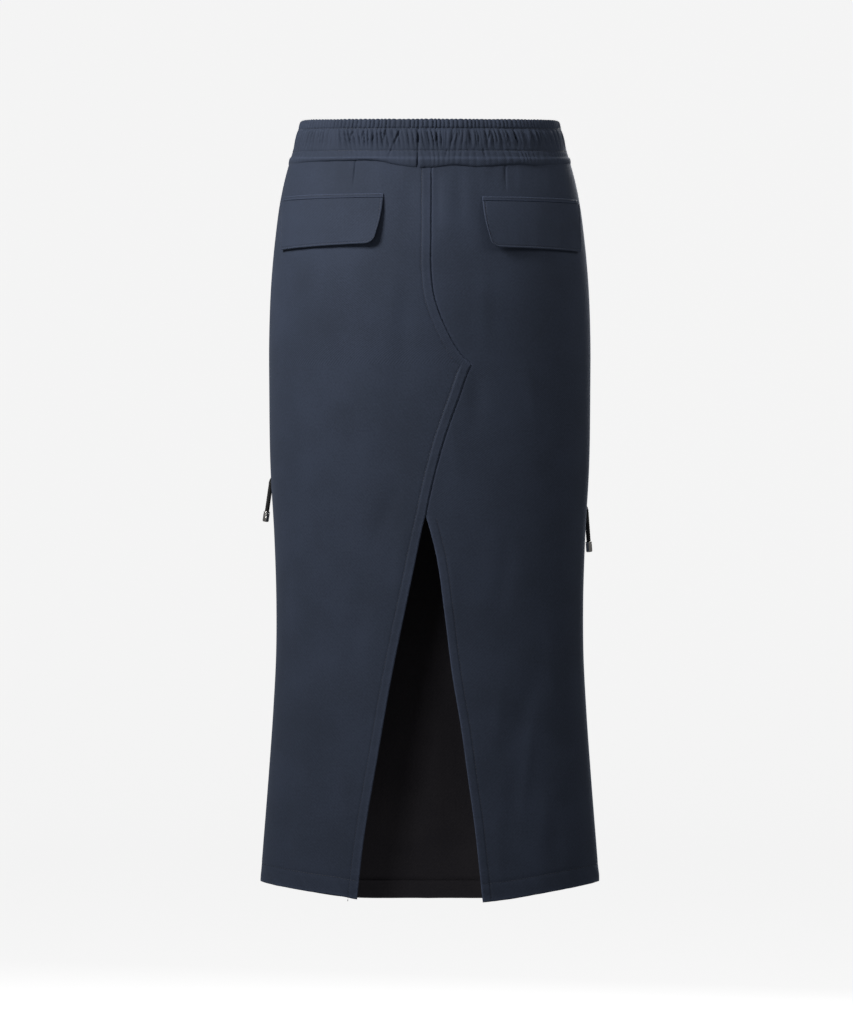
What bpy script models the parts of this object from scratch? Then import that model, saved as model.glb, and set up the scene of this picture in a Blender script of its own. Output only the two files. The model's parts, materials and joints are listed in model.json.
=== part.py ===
"""A long mermaid skirt, hollow as when it is worn, with its back towards -Y.

The skirt has a gathered elastic waistband, one front panel, two back panels that meet in a shaped
seam over an open slit, two pocket flaps with welts, and a drawcord end at each side.
Sizes are metres. Heights are given as a drop below the waistband's top edge, places across the back
as the distance aside from its middle (positive towards +X), and angles round the skirt are counted
in degrees from the middle of the back towards +X, so 180 is the middle of the front.
"""

import math
from collections import namedtuple

import bmesh
import bpy
import numpy as np
from mathutils import Vector

# Driving sizes
WAIST_TOP_Z = 0.024
CLOTH_THICKNESS = 0.0016
TURNED_CLOTH = 0.0026
SEAM_GAP = 0.0004
SIDE_SEAM = 91.0
HEM_TURN_UP = 0.020
SLIT_TURN_IN = 0.0095
TURN_STEP = 0.0015
LAP_RISE = 0.0009
PANEL_TOP_DROP = 0.0455
LAP_START_DROP = 0.0610
PANEL_FOOT = 0.855
TURN_UP_DROP = PANEL_FOOT - HEM_TURN_UP
HEM_REACH = 0.20

# How finely the panels are divided
ROW_SPACING = 0.036
BACK_COLUMNS = 16
FRONT_COLUMNS = 26
TURNED_ASIDES = (SLIT_TURN_IN + TURN_STEP, SLIT_TURN_IN, 0.0)
SHARP_ANGLE = 40.0

# The form that the cloth hangs on, from the waist down
Section = namedtuple("Section", "drop half_width back_depth front_depth")
SECTIONS = [
    Section(0.000, 0.1440, 0.0980, 0.0930),
    Section(0.045, 0.1555, 0.1050, 0.0970),
    Section(0.064, 0.1606, 0.1085, 0.0990),
    Section(0.085, 0.1651, 0.1130, 0.1010),
    Section(0.130, 0.1713, 0.1190, 0.1045),
    Section(0.180, 0.1758, 0.1218, 0.1066),
    Section(0.240, 0.1780, 0.1202, 0.1070),
    Section(0.300, 0.1779, 0.1165, 0.1060),
    Section(0.380, 0.1767, 0.1110, 0.1030),
    Section(0.460, 0.1723, 0.1065, 0.1003),
    Section(0.530, 0.1701, 0.1030, 0.0983),
    Section(0.590, 0.1704, 0.1007, 0.0968),
    Section(0.650, 0.1734, 0.0995, 0.0955),
    Section(0.720, 0.1783, 0.0980, 0.0940),
    Section(0.800, 0.1846, 0.0960, 0.0925),
    Section(0.870, 0.1902, 0.0940, 0.0910),
]

# Level lines round the skirt
Level = namedtuple("Level", "angle drop")
HEM = [
    Level(-180, 0.8680), Level(-150, 0.8655), Level(-130, 0.8560), Level(-110, 0.8462),
    Level(-90, 0.8415), Level(-63, 0.8432), Level(-44, 0.8476), Level(-32, 0.8510),
    Level(-25, 0.8544), Level(-12, 0.8560), Level(0, 0.8570), Level(18, 0.8573),
    Level(26, 0.8550), Level(40, 0.8495), Level(56, 0.8446), Level(90, 0.8415),
    Level(110, 0.8462), Level(130, 0.8560), Level(150, 0.8655), Level(180, 0.8680),
]
WAIST_SEAM = [
    Level(-180, 0.0470), Level(-120, 0.0470), Level(-80, 0.0482), Level(-60, 0.0487),
    Level(-38, 0.0497), Level(-20, 0.0515), Level(-14, 0.0551), Level(-5, 0.0586),
    Level(2, 0.0584), Level(10, 0.0561), Level(19, 0.0578), Level(29, 0.0555),
    Level(38, 0.0539), Level(47, 0.0541), Level(56, 0.0522), Level(80, 0.0474),
    Level(120, 0.0470), Level(180, 0.0470),
]
WAIST_DIP = 0.0073

# The inner edges of the two back panels
EdgePoint = namedtuple("EdgePoint", "drop aside")
CENTRE_SEAM = [
    EdgePoint(0.0400, 0.0010), EdgePoint(0.1340, 0.0005), EdgePoint(0.1710, 0.0005),
    EdgePoint(0.1990, 0.0039), EdgePoint(0.2195, 0.0104), EdgePoint(0.2360, 0.0178),
    EdgePoint(0.2548, 0.0281), EdgePoint(0.2660, 0.0365), EdgePoint(0.2724, 0.0440),
]
RETURN_SEAM = [
    EdgePoint(0.2724, 0.0440), EdgePoint(0.2827, 0.0393), EdgePoint(0.3068, 0.0310),
    EdgePoint(0.3326, 0.0216), EdgePoint(0.3571, 0.0135), EdgePoint(0.3878, 0.0051),
    EdgePoint(0.4203, -0.0023), EdgePoint(0.4339, -0.0049),
]
SLIT_LEFT = [
    EdgePoint(0.4339, -0.0049), EdgePoint(0.5169, -0.0220), EdgePoint(0.6083, -0.0408),
    EdgePoint(0.6998, -0.0569), EdgePoint(0.7915, -0.0722), EdgePoint(0.8600, -0.0799),
]
SLIT_RIGHT = [
    EdgePoint(0.4339, -0.0049), EdgePoint(0.4767, 0.0061), EdgePoint(0.5438, 0.0159),
    EdgePoint(0.6110, 0.0244), EdgePoint(0.6659, 0.0336), EdgePoint(0.7209, 0.0412),
    EdgePoint(0.7760, 0.0488), EdgePoint(0.8251, 0.0541), EdgePoint(0.8600, 0.0577),
]
SEAM_POINT_DROP = 0.2724
SLIT_TOP_DROP = 0.4339

# Soft folds, each along a line between two places; a positive height stands out
Fold = namedtuple("Fold", "aside drop to_aside to_drop width height")
BACK_FOLDS = [
    Fold(-0.151, 0.490, -0.138, 0.610, 0.009, 0.0011),
    Fold(-0.138, 0.590, -0.118, 0.760, 0.009, 0.0011),
    Fold(-0.128, 0.640, -0.108, 0.820, 0.011, -0.0012),
    Fold(-0.030, 0.390, -0.066, 0.480, 0.010, -0.0011),
    Fold(-0.066, 0.460, -0.090, 0.640, 0.011, -0.0011),
    Fold(-0.028, 0.190, -0.029, 0.320, 0.010, -0.0009),
    Fold(-0.022, 0.066, -0.024, 0.130, 0.010, -0.0009),
    Fold(0.019, 0.062, 0.019, 0.145, 0.010, 0.0012),
    Fold(0.043, 0.062, 0.045, 0.130, 0.009, 0.0010),
    Fold(0.052, 0.270, 0.050, 0.350, 0.009, -0.0011),
    Fold(0.121, 0.590, 0.084, 0.710, 0.012, -0.0011),
    Fold(0.150, 0.690, 0.112, 0.830, 0.013, 0.0011),
    Fold(0.092, 0.700, 0.090, 0.800, 0.010, -0.0010),
]
FRONT_FOLDS = [
    Fold(0.000, 0.560, 0.004, 0.860, 0.013, -0.0016),
    Fold(-0.040, 0.600, -0.056, 0.850, 0.014, -0.0013),
    Fold(0.058, 0.590, 0.072, 0.850, 0.015, -0.0014),
    Fold(-0.120, 0.300, -0.104, 0.440, 0.012, -0.0011),
    Fold(0.118, 0.250, 0.102, 0.400, 0.012, -0.0011),
    Fold(-0.034, 0.062, -0.036, 0.150, 0.010, 0.0011),
    Fold(0.040, 0.062, 0.041, 0.140, 0.010, 0.0011),
]

# Waistband: rows counted from its top edge; the last row is the waist seam itself
GATHERS = 68
COLUMNS_PER_GATHER = 4
Wave = namedtuple("Wave", "times size start")
GATHER_SPACING = [Wave(5, 0.9, 1.0), Wave(13, 0.7, 2.2), Wave(23, 0.5, 0.0)]
GATHER_DEPTH = [Wave(9, 0.18, 0.6), Wave(17, 0.10, 1.9)]
GATHER_MEAN_DEPTH = 0.72
BandRow = namedtuple("BandRow", "below_top rise gather")
BAND_ROWS = [
    BandRow(0.0000, 0.0000, 0.0010),
    BandRow(0.0080, 0.0002, 0.0006),
    BandRow(0.0165, 0.0004, 0.0030),
    BandRow(0.0250, 0.0004, 0.0024),
    BandRow(0.0325, 0.0003, 0.0008),
    BandRow(0.0400, 0.0017, 0.0013),
    BandRow(None, 0.0021, 0.0004),
]
InnerBandRow = namedtuple("InnerBandRow", "drop rise")
BAND_LINING_ROWS = [
    InnerBandRow(None, -0.0012),
    InnerBandRow(0.0375, -0.0012),
    InnerBandRow(0.0430, 0.0005),
    InnerBandRow(None, 0.0005),
]

# Pocket flaps and welts: the inner end's place aside, the outer end's angle, and drops at both ends
FlapCut = namedtuple(
    "FlapCut", "side top_aside foot_aside top foot outer_top outer_foot top_angle foot_angle"
)
FLAPS = [
    FlapCut("left", -0.0502, -0.0575, 0.0915, 0.1412, 0.0900, 0.1448, -75.5, -68.5),
    FlapCut("right", 0.0566, 0.0640, 0.0950, 0.1455, 0.0932, 0.1465, 77.0, 70.0),
]
FLAP_COLUMNS = 13
FLAP_ROWS = 5
FLAP_CORNER_SHARES = [0.0, 0.010, 0.032, 0.065]
FLAP_LENGTH = 0.14
FLAP_THICKNESS = 0.0020
FLAP_CLEARANCE = 0.0006
FLAP_CORNER_RADIUS = 0.009
FLAP_CORNER_LIFT = 0.0042
FLAP_FOOT_LIFT = 0.0014
WELT_HEIGHT = 0.0045
WELT_THICKNESS = 0.0012

# Drawcord ends; the eyelet sits on the front just past the side, and the route is taken from it
CordEnd = namedtuple("CordEnd", "side angle drop hang lean")
CORD_ENDS = [
    CordEnd("left", -109.7, 0.3915, 0.0304, 0.0052),
    CordEnd("right", 110.4, 0.4222, 0.0335, 0.0029),
]
CORD_DIAMETER = 0.005
CORD_BEND_RADIUS = 0.0105
CORD_BEND_TURNS = (15, 30, 45, 60, 75, 90)
CORD_STRAIGHT = 0.003
CORD_HANG_STEPS = 4
CORD_POINT_SPACING = 0.006
EYELET_OUTER_RADIUS = 0.0065
EYELET_HOLE_RADIUS = 0.0031
EYELET_HEIGHT = 0.0018
EYELET_CLEARANCE = 0.0004
RingPoint = namedtuple("RingPoint", "across up")
EYELET_PROFILE = [
    RingPoint(-1.0, 0.0), RingPoint(-1.0, 0.6), RingPoint(-0.5, 1.0),
    RingPoint(0.5, 1.0), RingPoint(1.0, 0.4), RingPoint(1.0, 0.0),
]
TIP_LENGTH = 0.0105
TIP_RADIUS = 0.0036
TIP_ROUNDING = 0.0007
RING_STEPS = 16

Finish = namedtuple("Finish", "colour roughness metallic")
NAVY_TWILL = Finish((0.038, 0.048, 0.070), 0.75, 0.0)
NAVY_BAND = Finish((0.034, 0.042, 0.062), 0.80, 0.0)
BLACK_CORD = Finish((0.008, 0.008, 0.009), 0.70, 0.0)
NICKEL = Finish((0.72, 0.71, 0.70), 0.25, 1.0)


def smooth_line(rows, key, value):
    """A function that reads one column of a table against another, along a smooth curve."""
    at = np.array([getattr(row, key) for row in rows])
    height = np.array([getattr(row, value) for row in rows])
    slope = np.gradient(height, at)

    def read(x):
        x = min(max(x, at[0]), at[-1])
        i = min(int(np.searchsorted(at, x, side="right")) - 1, len(at) - 2)
        span = at[i + 1] - at[i]
        t = (x - at[i]) / span
        ease = t * t * (3 - 2 * t)
        bend = span * t * (1 - t) * (slope[i] * (1 - t) - slope[i + 1] * t)
        return float(height[i] + (height[i + 1] - height[i]) * ease + bend)

    return read


half_width_at = smooth_line(SECTIONS, "drop", "half_width")
back_depth_at = smooth_line(SECTIONS, "drop", "back_depth")
front_depth_at = smooth_line(SECTIONS, "drop", "front_depth")
hem_at = smooth_line(HEM, "angle", "drop")
waist_seam_at = smooth_line(WAIST_SEAM, "angle", "drop")
centre_seam_at = smooth_line(CENTRE_SEAM, "drop", "aside")
return_seam_at = smooth_line(RETURN_SEAM, "drop", "aside")
slit_left_at = smooth_line(SLIT_LEFT, "drop", "aside")
slit_right_at = smooth_line(SLIT_RIGHT, "drop", "aside")


def turn(angle):
    """The same direction as an angle from -180 to 180."""
    return (angle + 180) % 360 - 180


def waist_top(angle):
    """The waistband's top edge dips a little at the middle of the back."""
    return WAIST_DIP * max(0.0, math.cos(math.radians(angle)))


def fold_rise(folds, aside, drop):
    """How far the soft folds move the cloth out at this place."""
    total = 0.0
    for fold in folds:
        along = (fold.to_aside - fold.aside, fold.to_drop - fold.drop)
        length = math.hypot(*along)
        away = (aside - fold.aside, drop - fold.drop)
        share = (away[0] * along[0] + away[1] * along[1]) / length**2
        if 0 < share < 1:
            across = (away[0] * along[1] - away[1] * along[0]) / length
            total += fold.height * math.sin(math.pi * share) * math.exp(-((across / fold.width) ** 2))
    return total


def outward_at(angle, drop):
    """The level direction square to the form."""
    turned = math.radians(angle)
    depth = back_depth_at(drop) if math.cos(turned) > 0 else front_depth_at(drop)
    return Vector((math.sin(turned) / half_width_at(drop), -math.cos(turned) / depth, 0)).normalized()


def cloth_point(angle, drop, rise=0.0):
    """A point of the skirt's outer face, or one that lies further out by rise."""
    turned = math.radians(angle)
    at_back = math.cos(turned) > 0
    depth = back_depth_at(drop) if at_back else front_depth_at(drop)
    aside = half_width_at(drop) * math.sin(turned)
    folds = fold_rise(BACK_FOLDS if at_back else FRONT_FOLDS, aside, drop)
    place = Vector((aside, -depth * math.cos(turned), WAIST_TOP_Z - drop))
    return place + outward_at(angle, drop) * (rise + folds)


def angle_at(aside, drop):
    """The angle on the back that lies this far aside."""
    return math.degrees(math.asin(aside / half_width_at(drop)))


def material(name, finish):
    """A Principled material."""
    made = bpy.data.materials.new(name)
    made.use_nodes = True
    shader = made.node_tree.nodes["Principled BSDF"]
    shader.inputs["Base Color"].default_value = (*finish.colour, 1.0)
    shader.inputs["Roughness"].default_value = finish.roughness
    shader.inputs["Metallic"].default_value = finish.metallic
    return made


def add_object(name, data, finish):
    """Links an object with a material of its own."""
    made = bpy.data.objects.new(name, data)
    data.materials.append(material(name, finish))
    bpy.context.scene.collection.objects.link(made)
    return made


def add_mesh(name, shape, finish):
    """Makes an object of a bmesh, with its faces turned out and shaded smooth."""
    bmesh.ops.recalc_face_normals(shape, faces=shape.faces[:])
    if shape.calc_volume(signed=True) < 0:
        bmesh.ops.reverse_faces(shape, faces=shape.faces[:])
    data = bpy.data.meshes.new(name)
    shape.to_mesh(data)
    shape.free()
    data.shade_smooth()
    data.set_sharp_from_angle(angle=math.radians(SHARP_ANGLE))
    return add_object(name, data, finish)


def add_cloth(name, finish, columns, rows, place):
    """A closed piece of cloth from a grid. place(column, row, inside) gives its two faces' points."""
    shape = bmesh.new()
    bmesh.ops.create_grid(shape, x_segments=columns, y_segments=rows, size=1)
    outer = shape.verts[:]
    made = bmesh.ops.extrude_face_region(shape, geom=shape.faces[:])["geom"]
    inner = [piece for piece in made if isinstance(piece, bmesh.types.BMVert)]
    for points, inside in ((outer, False), (inner, True)):
        for point in points:
            column = round((point.co.x + 1) / 2 * columns)
            row = round((1 - point.co.y) / 2 * rows)
            point.co = place(column, row, inside)
    return add_mesh(name, shape, finish)


def spread(start, stop, count):
    """Evenly spaced values, both ends included."""
    return [start + (stop - start) * i / count for i in range(count + 1)]


def panel_drops(top, breaks, spacing):
    """Row heights of a panel: even between the breaks, then the two sides of the hem's turn-up."""
    drops = [top]
    for stop in breaks:
        count = max(1, round((stop - drops[-1]) / spacing))
        drops += spread(drops[-1], stop, count)[1:]
    return drops


BACK_DROPS = panel_drops(
    PANEL_TOP_DROP,
    [LAP_START_DROP, 0.171, 0.187, 0.203, 0.2195, 0.236, 0.2548, SEAM_POINT_DROP, SLIT_TOP_DROP]
    + [TURN_UP_DROP - TURN_STEP, TURN_UP_DROP, PANEL_FOOT],
    ROW_SPACING,
)
FRONT_DROPS = panel_drops(
    PANEL_TOP_DROP, [TURN_UP_DROP - TURN_STEP, TURN_UP_DROP, PANEL_FOOT], ROW_SPACING
)


def hung_drop(drop, angle):
    """A row's height where the hem has its own line: the rows near the hem follow it."""
    start = PANEL_FOOT - HEM_REACH
    share = min(max((drop - start) / (TURN_UP_DROP - TURN_STEP - start), 0), 1)
    return drop + (hem_at(turn(angle)) - PANEL_FOOT) * share * share * (3 - 2 * share)


def inner_edge(side, drop):
    """How far aside a back panel's inner edge lies."""
    half_gap = SEAM_GAP / 2
    if drop < SEAM_POINT_DROP:
        seam = centre_seam_at(drop)
    elif drop < SLIT_TOP_DROP:
        seam = return_seam_at(drop)
    else:
        seam = slit_left_at(drop) if side == "left" else slit_right_at(drop)
    return seam - half_gap if side == "left" else seam + half_gap


def back_panel(side):
    """One back panel, from the side seam to the middle seam and the slit."""
    hand = -1 if side == "left" else 1
    columns = BACK_COLUMNS + len(TURNED_ASIDES) - 1

    def place(column, row, inside):
        drop = BACK_DROPS[row]
        for _ in range(3):
            edge = inner_edge(side, drop)
            turned = TURNED_ASIDES[max(0, column - BACK_COLUMNS)]
            inner_angle = angle_at(edge + hand * turned, drop)
            side_angle = hand * (SIDE_SEAM - math.degrees(SEAM_GAP / 2 / back_depth_at(drop)))
            share = min(column / BACK_COLUMNS, 1)
            angle = side_angle + (inner_angle - side_angle) * share
            drop = hung_drop(BACK_DROPS[row], angle)
        doubled = column > BACK_COLUMNS or BACK_DROPS[row] >= TURN_UP_DROP
        rise = 0.0
        if column > BACK_COLUMNS and drop > SLIT_TOP_DROP:
            rise = LAP_RISE / 2
        elif column > BACK_COLUMNS and side == "left" and drop > LAP_START_DROP:
            rise = LAP_RISE
        if inside:
            rise -= TURNED_CLOTH if doubled else CLOTH_THICKNESS
        return cloth_point(angle, drop, rise)

    return add_cloth(f"back_{side}", NAVY_TWILL, columns, len(BACK_DROPS) - 1, place)


def front_panel():
    """The front, from side seam to side seam, with its hem turned up on the inside."""

    def place(column, row, inside):
        drop = FRONT_DROPS[row]
        share = column / FRONT_COLUMNS
        for _ in range(2):
            start = SIDE_SEAM + math.degrees(SEAM_GAP / 2 / back_depth_at(drop))
            angle = start + (360 - 2 * start) * share
            drop = hung_drop(FRONT_DROPS[row], angle)
        rise = 0.0
        if inside:
            rise = -TURNED_CLOTH if FRONT_DROPS[row] >= TURN_UP_DROP else -CLOTH_THICKNESS
        return cloth_point(angle, drop, rise)

    return add_cloth("front", NAVY_TWILL, FRONT_COLUMNS, len(FRONT_DROPS) - 1, place)


def gather_angles():
    """Angles of the gathers' crests, sides and hollows, a little uneven in spacing."""
    angles = np.radians(np.linspace(-180, 180, 1441))
    phase = GATHERS * (angles + math.pi)
    phase += sum(wave.size * np.sin(wave.times * angles + wave.start) for wave in GATHER_SPACING)
    phase -= phase[0]
    steps = np.arange(GATHERS * COLUMNS_PER_GATHER) * 2 * math.pi / COLUMNS_PER_GATHER
    return np.degrees(np.interp(steps, phase, angles))


def gather_depth(angle):
    """Some gathers are deeper than others."""
    turned = math.radians(angle)
    swing = sum(wave.size * math.sin(wave.times * turned + wave.start) for wave in GATHER_DEPTH)
    return GATHER_MEAN_DEPTH + swing


def waistband():
    """The elastic band: a gathered outer face over a plain inner one, open at the top and foot."""
    angles = gather_angles()
    shape = bmesh.new()
    outer = []
    for row in BAND_ROWS:
        ring = []
        for column, angle in enumerate(angles):
            foot = waist_seam_at(angle)
            drop = foot if row.below_top is None else waist_top(angle) + row.below_top
            crest = (1 + math.cos(2 * math.pi * column / COLUMNS_PER_GATHER)) / 2
            rise = row.rise + row.gather * gather_depth(angle) * crest
            ring.append(shape.verts.new(cloth_point(angle, drop, rise)))
        outer.append(ring)
    inner = []
    for number, row in enumerate(BAND_LINING_ROWS):
        ring = []
        for angle in angles[::COLUMNS_PER_GATHER]:
            edge = waist_top(angle) if number == 0 else waist_seam_at(angle)
            ring.append(shape.verts.new(cloth_point(angle, row.drop or edge, row.rise)))
        inner.append(ring)
    for rings in (outer, inner):
        for upper, lower in zip(rings, rings[1:]):
            for i in range(len(upper)):
                shape.faces.new((upper[i - 1], upper[i], lower[i], lower[i - 1]))
    for edge in (0, -1):
        for i in range(GATHERS):
            first = (i - 1) * COLUMNS_PER_GATHER
            rim = [outer[edge][(first + step) % len(angles)] for step in range(COLUMNS_PER_GATHER + 1)]
            shape.faces.new(rim + [inner[edge][i], inner[edge][i - 1]])
    return add_mesh("waistband", shape, NAVY_BAND)


def flap_shares():
    """Columns of a flap from its inner end, close together at the rounded corner."""
    corner = FLAP_CORNER_SHARES
    return corner + spread(corner[-1], 1, FLAP_COLUMNS - len(corner) + 1)[1:]


def pocket_flap(cut):
    """A flap of two layers, sewn along its top and standing off a little at its inner corner."""
    shares = flap_shares()

    def place(column, row, inside):
        share = shares[column]
        down = row / FLAP_ROWS
        top = cut.top + (cut.outer_top - cut.top) * share
        foot = cut.foot + (cut.outer_foot - cut.foot) * share
        from_centre = FLAP_CORNER_RADIUS - min(share * FLAP_LENGTH, FLAP_CORNER_RADIUS)
        short = FLAP_CORNER_RADIUS - math.sqrt(FLAP_CORNER_RADIUS**2 - from_centre**2)
        drop = top + (foot - short - top) * down
        inner_angle = angle_at(cut.top_aside + (cut.foot_aside - cut.top_aside) * down, drop)
        outer_angle = cut.top_angle + (cut.foot_angle - cut.top_angle) * down
        angle = inner_angle + (outer_angle - inner_angle) * share
        rise = FLAP_CLEARANCE + FLAP_FOOT_LIFT * down + FLAP_CORNER_LIFT * down * (1 - share) ** 4
        return cloth_point(angle, drop, rise if inside else rise + FLAP_THICKNESS)

    return add_cloth(f"flap_{cut.side}", NAVY_TWILL, FLAP_COLUMNS, FLAP_ROWS, place)


def welt(cut):
    """The narrow strip that the top of a flap comes out from under."""

    def place(column, row, inside):
        share = column / FLAP_COLUMNS
        drop = cut.top + (cut.outer_top - cut.top) * share - SEAM_GAP - WELT_HEIGHT * (1 - row)
        inner_angle = angle_at(cut.top_aside, drop)
        angle = inner_angle + (cut.top_angle - inner_angle) * share
        return cloth_point(angle, drop, FLAP_CLEARANCE + (0 if inside else WELT_THICKNESS))

    return add_cloth(f"welt_{cut.side}", NAVY_TWILL, FLAP_COLUMNS, 1, place)


def eyelet(end):
    """A turned metal ring that lies on the front, with the drawcord in its hole."""
    shape = bmesh.new()
    middle = (EYELET_OUTER_RADIUS + EYELET_HOLE_RADIUS) / 2
    half = (EYELET_OUTER_RADIUS - EYELET_HOLE_RADIUS) / 2
    points = [
        shape.verts.new((middle + half * point.across, 0, EYELET_HEIGHT * point.up))
        for point in EYELET_PROFILE
    ]
    shape.faces.new(points)
    bmesh.ops.spin(
        shape, geom=shape.faces[:], cent=(0, 0, 0), axis=(0, 0, 1),
        angle=math.tau, steps=RING_STEPS, use_merge=True, use_duplicate=False,
    )
    start_faces = [face for face in shape.faces if len(face.verts) > 4]
    bmesh.ops.delete(shape, geom=start_faces, context="FACES_ONLY")
    made = add_mesh(f"eyelet_{end.side}", shape, NICKEL)
    outward = outward_at(end.angle, end.drop)
    made.location = cloth_point(end.angle, end.drop, EYELET_CLEARANCE)
    made.rotation_euler = outward.to_track_quat("Z", "Y").to_euler()
    return made


def cord_route(end):
    """The drawcord's middle line: out of the eyelet, over in one bend and down, leaning out a little."""
    outward = outward_at(end.angle, end.drop)
    down = Vector((0, 0, -1))
    start = cloth_point(end.angle, end.drop, EYELET_CLEARANCE)
    route = [start, start + outward * CORD_STRAIGHT]
    for turned in CORD_BEND_TURNS:
        bend = math.radians(turned)
        step = outward * math.sin(bend) + down * (1 - math.cos(bend))
        route.append(route[1] + step * CORD_BEND_RADIUS)
    foot = route[-1]
    for share in spread(0, 1, CORD_HANG_STEPS)[1:]:
        route.append(foot + down * end.hang * share + outward * end.lean * share)
    return route


def smooth_route(route, spacing):
    """Evenly spaced points of a smooth curve through the route's own points."""
    lengths = [0.0]
    for here, there in zip(route, route[1:]):
        lengths.append(lengths[-1] + (there - here).length)
    Knot = namedtuple("Knot", "along x y z")
    knots = [Knot(at, *point) for at, point in zip(lengths, route)]
    lines = [smooth_line(knots, "along", axis) for axis in "xyz"]
    count = round(lengths[-1] / spacing)
    return [Vector([line(at) for line in lines]) for at in spread(0, lengths[-1], count)]


def drawcord(end):
    """The free end of a round cord, as a plain tube."""
    points = smooth_route(cord_route(end), CORD_POINT_SPACING)
    data = bpy.data.curves.new(f"cord_{end.side}", "CURVE")
    data.dimensions = "3D"
    data.bevel_depth = CORD_DIAMETER / 2
    data.bevel_resolution = 2
    data.use_fill_caps = True
    spline = data.splines.new("POLY")
    spline.points.add(len(points) - 1)
    for point, place in zip(spline.points, points):
        point.co = (*place, 1)
    return add_object(data.name, data, BLACK_CORD)


def cord_tip(end):
    """The metal cord end, in line with the cord's last stretch."""
    route = cord_route(end)
    along = (route[-1] - route[-2]).normalized()
    shape = bmesh.new()
    bmesh.ops.create_cone(
        shape, cap_ends=True, segments=RING_STEPS,
        radius1=TIP_RADIUS, radius2=TIP_RADIUS, depth=TIP_LENGTH,
    )
    rims = [edge for edge in shape.edges if len({point.co.z > 0 for point in edge.verts}) == 1]
    bmesh.ops.bevel(
        shape, geom=rims, offset=TIP_ROUNDING, segments=2, profile=0.5, affect="EDGES", material=-1
    )
    made = add_mesh(f"tip_{end.side}", shape, NICKEL)
    made.location = route[-1] + along * (SEAM_GAP + TIP_LENGTH / 2)
    made.rotation_euler = along.to_track_quat("Z", "Y").to_euler()
    return made


def main():
    """Builds every piece of the skirt."""
    for leftover in list(bpy.data.objects):
        bpy.data.objects.remove(leftover)
    waistband()
    front_panel()
    for side in ("left", "right"):
        back_panel(side)
    for cut in FLAPS:
        pocket_flap(cut)
        welt(cut)
    for end in CORD_ENDS:
        eyelet(end)
        drawcord(end)
        cord_tip(end)


main()
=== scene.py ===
"""The looks of a long navy mermaid skirt, hollow as when it is worn, with its back towards -Y.

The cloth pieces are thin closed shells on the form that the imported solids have. Sizes are metres.
Heights are given as a drop below the waistband's top edge, places across the back as the distance
aside from its middle (positive towards +X), and angles round the skirt are counted in degrees from
the middle of the back towards +X, so 180 is the middle of the front.
"""

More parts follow.
